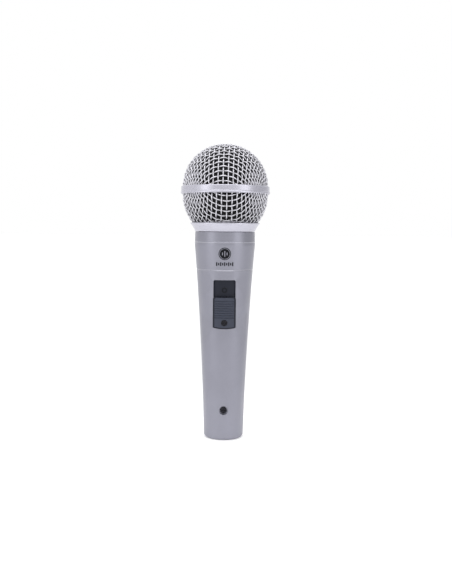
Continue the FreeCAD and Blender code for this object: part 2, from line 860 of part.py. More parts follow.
# ---------------------------------------------------------------- capsule

def make_capsule():
    """The moving-coil capsule; its levels are measured from the capsule's base."""
    base = s.capsule_base
    make_capsule_housing(base)
    keep(ring("rear_felt", s.felt_bore, s.capsule_radius - s.capsule_wall - 0.2, s.felt_wall,
              base + s.capsule_floor + s.film_play))
    make_yoke(base + s.yoke_level)
    magnet_level = s.yoke_level + s.yoke_floor
    keep(ring("magnet", 0, s.magnet_radius, s.pole_level - magnet_level, base + magnet_level))
    keep(ring("pole_piece", 0, s.pole_radius, s.pole_wall, base + s.pole_level))
    keep(ring("front_plate", s.gap_radius, s.yoke_radius, s.pole_wall, base + s.pole_level))
    keep(ring("voice_coil", s.coil_radius, s.coil_radius + s.coil_wall, s.coil_height,
              base + s.coil_level))
    keep(ring("clamp_ring", s.clamp_bore, s.yoke_radius, s.clamp_wall,
              base + s.pole_level + s.pole_wall))
    make_diaphragm(base + s.film_level)
    make_resonator_cap(base + s.front_level)
    keep(ring("front_screen", 0, s.capsule_radius - s.screen_inset, s.screen_wall,
              base + s.capsule_height + s.front_wall + s.film_play))


def make_capsule_housing(base):
    """Open cup with a ring of rear-entry ports below its rim."""
    inner = s.capsule_radius - s.capsule_wall
    body = turned("capsule_housing", [
        (s.capsule_opening, 0), (s.capsule_radius, 0), (s.capsule_radius, s.capsule_height),
        (inner, s.capsule_height), (inner, s.capsule_floor), (s.capsule_opening, s.capsule_floor),
    ], base)
    sketch = outline_sketch(body, "XZ_Plane", rounded_rectangle(
        s.port_width / 2, s.port_low, s.port_high, s.port_corner))
    port = body.newObject("PartDesign::Pocket", "housing_port")
    port.Profile = sketch
    port.Reversed = True
    bind(port, Length=s.capsule_radius * 1.2)
    ports = body.newObject("PartDesign::PolarPattern", "housing_ports")
    ports.Originals = [port]
    ports.Axis = (sketch, ["V_Axis"])
    ports.Angle = 360
    ports.Occurrences = 8
    body.Tip = ports
    keep(body)


def make_yoke(base):
    """Steel cup around the magnet, with four vents through its floor."""
    cup = turned("yoke_cup", [
        (0, 0), (s.yoke_radius, 0), (s.yoke_radius, s.yoke_height), (s.yoke_bore, s.yoke_height),
        (s.yoke_bore, s.yoke_floor), (0, s.yoke_floor),
    ], base)
    vent_circle = (s.magnet_radius + s.yoke_bore) / 2
    vents = [rod(f"yoke_vent_{number}", s.yoke_vent, s.yoke_floor + 2, vent_circle * across,
                 vent_circle * along, base - 1)
             for number, (across, along) in enumerate(((1, 0), (0, 1), (-1, 0), (0, -1)), start=1)]
    keep(cut("yoke", cup, *vents))


def make_diaphragm(base):
    """Film dome with its coil flange, and the rolled surround that carries it."""
    rim = s.coil_radius + s.coil_wall + s.film_play
    bend = s.coil_radius
    rise = s.dome_rise
    bow = (bend * bend + rise * rise) / (2 * rise)
    keep(turned("diaphragm_dome", [
        (0, rise), (bend, 0, -bow), (rim, 0), (rim, s.film),
        (bend, s.film), (0, rise + s.film, bow),
    ], base))
    roll_in, roll_out = rim + s.film_play, s.clamp_bore - 0.1
    roll = (roll_out - roll_in) / 2 * s.roll_rise
    keep(turned("diaphragm_surround", [
        (roll_in, s.film), (roll_out, s.film, -roll), (s.yoke_radius, s.film),
        (s.yoke_radius, s.film * 2), (roll_out, s.film * 2), (roll_in, s.film * 2, roll),
    ], base))


def make_resonator_cap(base):
    """Perforated front cap that clamps the film and rests on the housing's rim."""
    rim = s.capsule_height - s.front_level
    top = rim + s.front_wall
    cap = turned("cap_cup", [
        (s.clamp_bore, 0), (s.yoke_radius, 0), (s.yoke_radius, rim), (s.capsule_radius, rim),
        (s.capsule_radius, top), (0, top), (0, rim), (s.clamp_bore, rim),
    ], base)
    length = s.front_wall + 2
    holes = [rod("cap_vent_0", s.front_middle_vent, length, 0, 0, base + rim - 1)]
    for circle, count in ((s.front_inner_circle, 6), (s.front_outer_circle, 12)):
        for number in range(count):
            angle = math.radians(360 / count * number)
            holes.append(rod(f"cap_vent_{count}_{number}", s.front_vent, length,
                             circle * math.cos(angle), circle * math.sin(angle), base + rim - 1))
    keep(cut("resonator_cap", cap, *holes))


def make_capsule_rear():
    """Rear air chamber, its terminal board with two tags, and the rubber shock mount."""
    height = s.capsule_base - s.chamber_low
    inner = s.chamber_radius - s.capsule_wall
    keep(turned("rear_chamber", [
        (0, 0), (s.chamber_radius, 0), (s.chamber_radius, height), (inner, height),
        (inner, s.chamber_floor), (0, s.chamber_floor),
    ], s.chamber_low))
    board_top = s.chamber_low - s.film_play
    board = ring("terminal_disc", 0, s.terminal_radius, s.terminal_wall, board_top - s.terminal_wall)
    slits, tags = [], []
    for name, side in (("left", -1), ("right", 1)):
        middle = s.tag_side * side
        half, wall = s.tag_width / 2, s.tag_wall / 2
        tags.append(box(f"tag_{name}", (middle - half, -wall, s.tag_low), (middle + half, wall, board_top)))
        half, wall = half + s.tag_play, wall + s.tag_play
        slits.append(box(f"terminal_slit_{name}", (middle - half, -wall, s.tag_low),
                         (middle + half, wall, s.chamber_low + 1)))
    keep(cut("terminal_board", board, *slits))
    keep(group("terminal_tags", *tags))
    bore = s.chamber_radius + 0.3
    cup_bore = s.capsule_radius + s.film_play
    neck = s.mount_radius - s.mount_neck
    grip = s.capsule_base - s.spigot_top - s.film_play
    top = grip + s.mount_cup
    keep(turned("shock_mount", [
        (bore, 0), (s.mount_radius, 0), (s.mount_radius, s.mount_lip),
        (neck, s.mount_lip + s.mount_bevel), (neck, s.mount_neck_top),
        (s.mount_radius, s.mount_neck_top + s.mount_bevel), (s.mount_radius, top),
        (cup_bore, top), (cup_bore, grip), (bore, grip),
    ], s.spigot_top + s.film_play))


# ---------------------------------------------------------------- ball grille

def make_mesh():
    """The two halves of the wire ball as thin shells."""
    outer, inner = s.mesh_radius, s.mesh_radius - s.mesh_wall
    low = s.band_high - s.mesh_lap
    centre = s.upper_centre
    keep(turned("grille_mesh_upper", [
        (inner, low), (outer, low), (outer, centre), (0, centre + outer, outer),
        (0, centre + inner), (inner, centre, -inner),
    ]))
    low, high = s.collar_ledge + 0.05, s.band_low + s.mesh_lap
    centre = s.lower_centre
    drop = (centre - low) * (centre - low)
    keep(turned("grille_mesh_lower", [
        (root(inner * inner - drop), low, -inner), (root(outer * outer - drop), low),
        (outer, centre, outer), (outer, high), (inner, high), (inner, centre),
    ]))


def make_band():
    inset_radius = s.band_radius - s.band_inset
    keep(turned("grille_band", [
        (s.band_bore, s.band_low),
        (s.band_radius - s.band_round, s.band_low),
        (s.band_radius, s.band_low + s.band_round, s.band_round),
        (s.band_radius, s.band_low + s.band_slope_low),
        (inset_radius, s.band_low + s.band_slope_high),
        (inset_radius, s.band_high - s.band_chamfer),
        (inset_radius - s.band_chamfer, s.band_high),
        (s.band_bore, s.band_high),
        (s.band_bore, s.band_high - s.band_web),
        (s.band_web_radius, s.band_high - s.band_web),
        (s.band_web_radius, s.band_low + s.band_web),
        (s.band_bore, s.band_low + s.band_web),
    ]))


def make_collar():
    rim = s.collar_rim_radius
    inner_rim = rim - s.collar_lip
    keep(turned("grille_collar", [
        (s.collar_bore, s.collar_low),
        (s.collar_radius - s.collar_bevel, s.collar_low),
        (s.collar_radius, s.collar_low + s.collar_bevel),
        (rim - s.collar_round, s.collar_top - s.collar_edge - s.collar_round, -s.collar_bow),
        (rim, s.collar_top - s.collar_edge),
        (rim, s.collar_top - s.collar_round),
        (rim - s.collar_round, s.collar_top, s.collar_round),
        (inner_rim, s.collar_top),
        (inner_rim, s.collar_ledge),
        (s.sleeve_radius, s.collar_ledge),
        (s.sleeve_radius, s.sleeve_top),
        (s.collar_bore, s.sleeve_top),
    ]))


def make_foam():
    reach = s.lower_centre - s.foam_low
    bore_reach = root(s.foam_bore * s.foam_bore - s.foam_neck * s.foam_neck)
    keep(turned("foam_liner", [
        (s.foam_neck, s.foam_low),
        (root(s.foam_radius * s.foam_radius - reach * reach), s.foam_low),
        (s.foam_radius, s.lower_centre, s.foam_radius),
        (s.foam_radius, s.upper_centre),
        (0, s.upper_centre + s.foam_radius, s.foam_radius),
        (0, s.upper_centre + s.foam_bore),
        (s.foam_bore, s.upper_centre, -s.foam_bore),
        (s.foam_bore, s.lower_centre),
        (s.foam_neck, s.lower_centre - bore_reach, -s.foam_bore),
    ]))


# ---------------------------------------------------------------- wiring

def lead(label, points):
    """A wire along straight runs joined by tangent arcs, as a plain feature with a swept shape."""
    points = [FreeCAD.Vector(*point) for point in points]
    edges = []
    start = points[0]
    for before, corner, after in zip(points, points[1:], points[2:]):
        inward, outward = (corner - before).normalize(), (after - corner).normalize()
        turn = inward.getAngle(outward)
        setback = 0.45 * min((corner - before).Length, (after - corner).Length)
        first, last = corner - inward * setback, corner + outward * setback
        radius = setback / math.tan(turn / 2)
        bisector = (outward - inward).normalize()
        middle = corner + bisector * (radius / math.cos(turn / 2) - radius)
        edges += [Part.LineSegment(start, first).toShape(), Part.Arc(first, middle, last).toShape()]
        start = last
    edges.append(Part.LineSegment(start, points[-1]).toShape())
    path = Part.Wire(edges)
    radius = s.lead_radius.value
    section = Part.Wire([Part.makeCircle(radius, points[0], points[1] - points[0])])
    tube = path.makePipeShell([section], True, False)
    if abs(tube.Volume / (math.pi * radius ** 2 * path.Length) - 1) > 0.01:
        raise RuntimeError(f"{label} is pinched in a bend")
    feature = doc.addObject("Part::Feature", label)
    feature.Shape = tube
    keep(feature)


def board_point(x, y, z):
    """A point of the switch's frame as a plain vector of the assembly."""
    origin = FreeCAD.Vector(0, -handle_radius(s.travel_middle).value, s.travel_middle.value)
    tilt = FreeCAD.Rotation(FreeCAD.Vector(1, 0, 0), s.switch_tilt.value)
    return FreeCAD.Placement(origin, tilt).multVec(FreeCAD.Vector(x, y, z))


def make_leads():
    """Two leads from the capsule to the switch board, and three from the board to the contacts."""
    back = s.can_back.value + s.board_wall.value
    stand = 2.4
    edge = s.board_height.value / 2 - 1.2
    tag = s.tag_side.value
    tag_end = s.tag_low.value + 0.6
    beside_tag = s.tag_wall.value / 2 + s.lead_radius.value + 0.05
    for number, side in enumerate((1, -1), start=1):
        lead(f"capsule_lead_{number}", [
            board_point(side * 3.6, back, edge), board_point(side * 3.6, back + stand, edge),
            (side * 4.4, 0.4, 97.0), (side * tag, beside_tag, tag_end),
            (side * tag, beside_tag, tag_end + 2.6),
        ])
    cup_floor = s.contact_back.value - s.solder_cup_depth.value + 0.1
    for number, (contact_x, contact_y) in enumerate(contact_places(), start=1):
        x, y = as_size(contact_x).value, as_size(contact_y).value
        side = {1: 1, 2: -1, 3: 0}[number]
        pad_level = -edge if side else 4.6 - edge
        away = board_point(side * 3.4, back + stand, pad_level)
        lead(f"xlr_lead_{number}", [
            board_point(side * 3.4, back, pad_level), away, (side * 4.2, away.y + 1.5, 50.0),
            (x + side * 0.6, y + 0.8, 36.0), (x, y, 31.0), (x, y, cup_floor),
        ])


# ---------------------------------------------------------------- assembly

def check_and_write():
    """Stop on any failed object or bad solid, then write one STEP file for each node."""
    doc.recompute()
    for item in doc.Objects:
        if "Invalid" in item.State or "Error" in item.State:
            raise RuntimeError(f"{item.Name} failed: {item.State}")
    for node in nodes:
        if node.Shape.isNull() or not node.Shape.isValid() or node.Shape.Volume <= 0:
            raise RuntimeError(f"{node.Label} has no valid shape")
    os.makedirs("parts", exist_ok=True)
    for node in nodes:
        node.Shape.exportStep(os.path.join("parts", f"{node.Label}.step"))
        extent = node.Shape.optimalBoundingBox()
        print(f"{node.Label:20s} solids {len(node.Shape.Solids)} volume {node.Shape.Volume:9.2f} "
              f"z {extent.ZMin:7.2f} to {extent.ZMax:7.2f}")


make_handle()
make_insert()
make_contacts()
make_ground_spring()
make_lock_screw()
make_bezel()
make_carriage()
make_slider_cap()
make_slider_screw()
make_switch()
make_board()
make_capsule()
make_capsule_rear()
make_mesh()
make_band()
make_collar()
make_foam()
make_leads()
check_and_write()
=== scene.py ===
import json
import math

import bpy
import numpy as np
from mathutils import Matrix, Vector, noise
from mathutils.bvhtree import BVHTree


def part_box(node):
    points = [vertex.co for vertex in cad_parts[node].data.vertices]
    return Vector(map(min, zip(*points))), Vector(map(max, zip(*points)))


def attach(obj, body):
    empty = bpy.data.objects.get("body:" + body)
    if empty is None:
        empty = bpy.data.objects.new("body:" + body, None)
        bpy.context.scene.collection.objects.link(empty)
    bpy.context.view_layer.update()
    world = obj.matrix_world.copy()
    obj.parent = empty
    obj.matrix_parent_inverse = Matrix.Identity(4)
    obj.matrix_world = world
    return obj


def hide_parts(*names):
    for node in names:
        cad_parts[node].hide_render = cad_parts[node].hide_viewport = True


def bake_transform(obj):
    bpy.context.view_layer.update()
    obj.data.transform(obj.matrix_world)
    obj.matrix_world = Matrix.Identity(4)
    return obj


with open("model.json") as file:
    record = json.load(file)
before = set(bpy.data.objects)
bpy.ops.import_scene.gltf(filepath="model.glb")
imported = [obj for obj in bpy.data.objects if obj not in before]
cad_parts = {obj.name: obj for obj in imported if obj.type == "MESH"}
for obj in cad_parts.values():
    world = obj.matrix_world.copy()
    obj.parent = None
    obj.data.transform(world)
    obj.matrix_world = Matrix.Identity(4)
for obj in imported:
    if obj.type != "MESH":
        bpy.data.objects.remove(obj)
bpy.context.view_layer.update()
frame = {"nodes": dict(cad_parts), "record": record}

# A dynamic microphone standing on its connector end, with its switch towards -Y.
# Sizes of the microphone are in millimetres, those of the camera and the studio in metres.

MM = 0.001
UP = Vector((0, 0, 1))

MESH_RADIUS = 24.47
UPPER_CENTRE, LOWER_CENTRE = 142.4, 137.1
UPPER_EDGE, LOWER_EDGE = 140.95, 139.15
COLLAR_LEDGE = 120.95


# ---------------------------------------------------------------- camera and studio

CAMERA_DISTANCE = 0.45
CAMERA_HEIGHT = 0.1203
CAMERA_SIDE = 0.00052
CAMERA_ROLL = math.radians(-0.5)
VIEW_HEIGHT = 0.3339
VIEW_MIDDLE = 0.0820


def make_camera():
    """Camera level with the grille's collar, looking along +Y at the front."""
    data = bpy.data.cameras.new("camera")
    data.sensor_width = 36
    data.lens = data.sensor_width * CAMERA_DISTANCE / VIEW_HEIGHT
    data.shift_y = (VIEW_MIDDLE - CAMERA_HEIGHT) / VIEW_HEIGHT
    data.clip_start = 0.01
    data.clip_end = 50
    camera = bpy.data.objects.new("camera", data)
    camera.location = (CAMERA_SIDE, -CAMERA_DISTANCE, CAMERA_HEIGHT)
    camera.rotation_euler = (math.radians(90), CAMERA_ROLL, 0)
    bpy.context.scene.collection.objects.link(camera)
    bpy.context.scene.camera = camera


LIGHT_AIM = Vector((0, 0, 0.09))


def make_light(name, azimuth, elevation, distance, size, power):
    """Rectangular soft light aimed at the microphone; azimuth 0 is the camera's side, 90 is +X."""
    turn, rise = math.radians(azimuth), math.radians(elevation)
    away = Vector((math.sin(turn) * math.cos(rise), -math.cos(turn) * math.cos(rise), math.sin(rise)))
    data = bpy.data.lights.new(name, "AREA")
    data.shape = "RECTANGLE"
    data.size, data.size_y = size
    data.energy = power
    light = bpy.data.objects.new(name, data)
    light.location = LIGHT_AIM + away * distance
    light.rotation_euler = away.to_track_quat("Z", "Y").to_euler()
    bpy.context.scene.collection.objects.link(light)


# How much darker the surroundings get, and between which parts of a direction along X or Y.
LEFT_SHADE, RIGHT_SHADE, FRONT_SHADE = 0.18, 0.6, 0.24
SIDE_START, SIDE_END = 0.4, 0.9
FRONT_END, FRONT_START = -0.75, 0.1


def make_surroundings():
    """White surroundings that are darker to the sides, most to the right, and towards the camera."""
    world = bpy.data.worlds.new("studio")
    world.use_nodes = True
    tree = world.node_tree
    split = tree.nodes.new("ShaderNodeSeparateXYZ")
    tree.links.new(tree.nodes.new("ShaderNodeTexCoord").outputs["Generated"], split.inputs["Vector"])
    left = map_range(tree, split.outputs["X"], -SIDE_END, -SIDE_START, LEFT_SHADE, 0)
    right = map_range(tree, split.outputs["X"], SIDE_START, SIDE_END, 0, RIGHT_SHADE)
    front = map_range(tree, split.outputs["Y"], FRONT_END, FRONT_START, FRONT_SHADE, 0)
    level = tree.nodes.new("ShaderNodeValue").outputs["Value"]
    level.default_value = 1.0
    for shade in (left, right, front):
        level = calculated(tree, "SUBTRACT", level, shade)
    background = tree.nodes["Background"]
    background.inputs["Color"].default_value = (1.0, 1.0, 1.0, 1.0)
    tree.links.new(level, background.inputs["Strength"])
    bpy.context.scene.world = world


FLOOR_HALF = 8
# The floor's own glow near the foot and far off, and the distances over which each fades or grows.
NEAR_GLOW, NEAR_FADE = 0.28, (0.05, 0.17)
FAR_GLOW, FAR_GROWTH = 0.3, (0.35, 1.2)


def make_studio():
    """Pale surroundings, two tall soft lights and a broad top light over a pale floor."""
    make_surroundings()
    make_light("left_light", azimuth=-53, elevation=12, distance=0.9, size=(0.4, 0.9), power=1.3)
    make_light("right_light", azimuth=52, elevation=12, distance=0.9, size=(0.46, 0.9), power=1.75)
    make_light("top_light", azimuth=0, elevation=80, distance=1.2, size=(1.2, 1.2), power=6.0)
    paint = surface("floor_paint", (0.96, 0.96, 0.96), (0.95, 0.95, 0.95), patch=3, roughness=0.8,
                    grain=60, depth=0.02, Emission_Color=(1, 1, 1, 1))
    tree = paint.node_tree
    reach = tree.nodes.new("ShaderNodeVectorMath")
    reach.operation = "LENGTH"
    tree.links.new(tree.nodes.new("ShaderNodeTexCoord").outputs["Object"], reach.inputs[0])
    near = map_range(tree, reach.outputs["Value"], *NEAR_FADE, NEAR_GLOW, 0)
    far = map_range(tree, reach.outputs["Value"], *FAR_GROWTH, 0, FAR_GLOW)
    glow = calculated(tree, "ADD", near, far)
    tree.links.new(glow, tree.nodes["Principled BSDF"].inputs["Emission Strength"])
    corners = [(x * FLOOR_HALF, y * FLOOR_HALF, 0) for x, y in ((-1, -1), (1, -1), (1, 1), (-1, 1))]
    floor = make_mesh("floor", corners, [(0, 1, 2, 3)], paint)


# ---------------------------------------------------------------- materials

DARKER = 0.88
COLOUR_EDGES, ROUGHNESS_EDGES = (0.35, 0.62), (0.3, 0.7)


def surface(name, colour, other=None, patch=60, metallic=0.0, roughness=0.4, spread=0.06,
            pattern="noise", stretch=(1, 1, 1), grain=1500, depth=0.01, **inputs):
    """A node material on object coordinates.

    colour and other, a darker shade of it unless given, are blended by soft patches, patch per
    metre. roughness varies by spread either way. grain per metre and depth in millimetres give
    the fine relief, drawn out by stretch, whose pattern is noise, cells, pores or waves. Further
    inputs are sockets of the Principled shader by name, with _ for a space.
    """
    material = bpy.data.materials.new(name)
    material.use_nodes = True
    tree = material.node_tree
    shader = tree.nodes["Principled BSDF"]
    place = tree.nodes.new("ShaderNodeTexCoord").outputs["Object"]

    patches = tree.nodes.new("ShaderNodeTexNoise")
    patches.inputs["Scale"].default_value = patch
    patches.inputs["Detail"].default_value = 4
    tree.links.new(place, patches.inputs["Vector"])
    blend = tree.nodes.new("ShaderNodeMix")
    blend.data_type = "RGBA"
    dark = other or tuple(DARKER * channel for channel in colour)
    blend.inputs["A"].default_value = (*dark, 1)
    blend.inputs["B"].default_value = (*colour, 1)
    ramp = map_range(tree, patches.outputs["Fac"], *COLOUR_EDGES, 0, 1)
    tree.links.new(ramp, blend.inputs["Factor"])
    tree.links.new(blend.outputs["Result"], shader.inputs["Base Color"])

    glossy, dull = roughness - spread, roughness + spread
    finish = map_range(tree, patches.outputs["Fac"], *ROUGHNESS_EDGES, glossy, dull)
    tree.links.new(finish, shader.inputs["Roughness"])

    scaled = tree.nodes.new("ShaderNodeMapping")
    scaled.inputs["Scale"].default_value = stretch
    tree.links.new(place, scaled.inputs["Vector"])
    relief = relief_output(tree, pattern, grain, scaled.outputs["Vector"])
    bump = tree.nodes.new("ShaderNodeBump")
    bump.inputs["Distance"].default_value = depth * MM
    bump.inputs["Strength"].default_value = 1.0
    tree.links.new(relief, bump.inputs["Height"])
    tree.links.new(bump.outputs["Normal"], shader.inputs["Normal"])

    shader.inputs["Metallic"].default_value = metallic
    for socket, value in inputs.items():
        shader.inputs[socket.replace("_", " ")].default_value = value
    return material


def map_range(tree, value, low, high, to_low, to_high):
    """Output socket of a clamped linear map of value."""
    node = tree.nodes.new("ShaderNodeMapRange")
    limits = {"From Min": low, "From Max": high, "To Min": to_low, "To Max": to_high}
    for socket, number in limits.items():
        node.inputs[socket].default_value = number
    tree.links.new(value, node.inputs["Value"])
    return node.outputs["Result"]


def calculated(tree, operation, first, second):
    """Output socket of an operation on two sockets."""
    node = tree.nodes.new("ShaderNodeMath")
    node.operation = operation
    tree.links.new(first, node.inputs[0])
    tree.links.new(second, node.inputs[1])
    return node.outputs["Value"]


def object_axes(tree):
    """Output sockets X, Y and Z of the place in the object."""
    split = tree.nodes.new("ShaderNodeSeparateXYZ")
    tree.links.new(tree.nodes.new("ShaderNodeTexCoord").outputs["Object"], split.inputs["Vector"])
    return split.outputs


def scale_colour(material, gain):
    """Multiply the base colour that a material has so far by a socket."""
    tree = material.node_tree
    target = tree.nodes["Principled BSDF"].inputs["Base Color"]
    scale = tree.nodes.new("ShaderNodeVectorMath")
    scale.operation = "SCALE"
    tree.links.new(target.links[0].from_socket, scale.inputs["Vector"])
    tree.links.new(gain, scale.inputs["Scale"])
    tree.links.new(scale.outputs["Vector"], target)


def relief_output(tree, pattern, grain, place):
    """Output socket of the fine relief's height."""
    if pattern == "waves":
        texture = tree.nodes.new("ShaderNodeTexWave")
        texture.bands_direction = "Z"
        texture.inputs["Distortion"].default_value = 0.6
        texture.inputs["Scale"].default_value = grain
        tree.links.new(place, texture.inputs["Vector"])
        return texture.outputs["Fac"]
    if pattern == "noise":
        texture = tree.nodes.new("ShaderNodeTexNoise")
        texture.inputs["Scale"].default_value = grain
        texture.inputs["Detail"].default_value = 3
        tree.links.new(place, texture.inputs["Vector"])
        return texture.outputs["Fac"]
    texture = tree.nodes.new("ShaderNodeTexVoronoi")
    texture.inputs["Scale"].default_value = grain
    tree.links.new(place, texture.inputs["Vector"])
    if pattern == "pores":
        return map_range(tree, texture.outputs["Distance"], 0.1, 0.6, 1, 0)
    return texture.outputs["Distance"]


def add_flakes(material, amount, size):
    """Fine bright and dark flecks, as in a metallic paint; size in mm."""
    tree = material.node_tree
    place = tree.nodes.new("ShaderNodeTexCoord").outputs["Object"]
    flecks = tree.nodes.new("ShaderNodeTexVoronoi")
    flecks.inputs["Scale"].default_value = 1 / (size * MM)
    tree.links.new(place, flecks.inputs["Vector"])
    level = tree.nodes.new("ShaderNodeSeparateColor")
    tree.links.new(flecks.outputs["Color"], level.inputs["Color"])
    scale_colour(material, map_range(tree, level.outputs["Red"], 0, 1, 1 - amount, 1 + amount))


RING_ROUGHNESS = 0.25


def add_rings(material, rings):
    """Rings round the axis at the turned lip and groove, metallic and smoother, whose lighter colour is
    a painted highlight; rings holds (middle height, half width, colour) in mm.
    """
    tree = material.node_tree
    shader = tree.nodes["Principled BSDF"]
    height = object_axes(tree)["Z"]
    for middle, half, colour in rings:
        near = tree.nodes.new("ShaderNodeMath")
        near.operation = "COMPARE"
        near.inputs[1].default_value = middle * MM
        near.inputs[2].default_value = half * MM
        tree.links.new(height, near.inputs[0])
        mix = tree.nodes.new("ShaderNodeMix")
        mix.data_type = "RGBA"
        base = shader.inputs["Base Color"].links[0].from_socket
        tree.links.new(near.outputs["Value"], mix.inputs["Factor"])
        tree.links.new(base, mix.inputs["A"])
        mix.inputs["B"].default_value = (*colour, 1)
        tree.links.new(mix.outputs["Result"], shader.inputs["Base Color"])
        for name, turned in (("Roughness", RING_ROUGHNESS), ("Metallic", 1.0)):
            socket = shader.inputs[name]
            blend = tree.nodes.new("ShaderNodeMix")
            blend.inputs["A"].default_value = socket.default_value
            blend.inputs["B"].default_value = turned
            if socket.links:
                tree.links.new(socket.links[0].from_socket, blend.inputs["A"])
            tree.links.new(near.outputs["Value"], blend.inputs["Factor"])
            tree.links.new(blend.outputs["Result"], socket)


# Depths under the ball's surface where the wire's painted shade is darkest and where it ends, and the
# colour that the painted shade leaves in the dips and at the collar.
DIP_BOTTOM, DIP_TOP = 1.1, 0.25
DIP_SHADE_SHARE, LOW_WIRE_SHADE_SHARE = 0.5, 0.8


def add_hollows(material):
    """Painted shade on the wire: darker in the weave's dips and towards the collar, as in a ball with
    little light inside.
    """
    tree = material.node_tree
    axes = object_axes(tree)
    low_centre, high_centre = LOWER_CENTRE * MM, UPPER_CENTRE * MM
    centre = map_range(tree, axes["Z"], low_centre, high_centre, low_centre, high_centre)
    outward = tree.nodes.new("ShaderNodeCombineXYZ")
    tree.links.new(axes["X"], outward.inputs["X"])
    tree.links.new(axes["Y"], outward.inputs["Y"])
    tree.links.new(calculated(tree, "SUBTRACT", axes["Z"], centre), outward.inputs["Z"])
    radius = tree.nodes.new("ShaderNodeVectorMath")
    radius.operation = "LENGTH"
    tree.links.new(outward.outputs["Vector"], radius.inputs[0])
    deep, crest = (MESH_RADIUS - below for below in (DIP_BOTTOM, DIP_TOP))
    # Painted shade: the wire is darker in the weave's dips.
    dip_shade = map_range(tree, radius.outputs["Value"], deep * MM, crest * MM, DIP_SHADE_SHARE, 1)
    # Painted shade: the wire is darker below the lower centre, towards the collar.
    low = map_range(tree, axes["Z"], COLLAR_LEDGE * MM, low_centre, LOW_WIRE_SHADE_SHARE, 1)
    scale_colour(material, calculated(tree, "MULTIPLY", dip_shade, low))


LIP_LEVEL, LIP_HALF = 110.7, 0.33
LINE_LEVEL, LINE_HALF = 95.1, 0.25
# Colours of the lip and the groove, lighter than the paint as a painted highlight.
LIP_HIGHLIGHT_METAL, LINE_HIGHLIGHT_METAL = (0.36, 0.36, 0.41), (0.38, 0.38, 0.43)


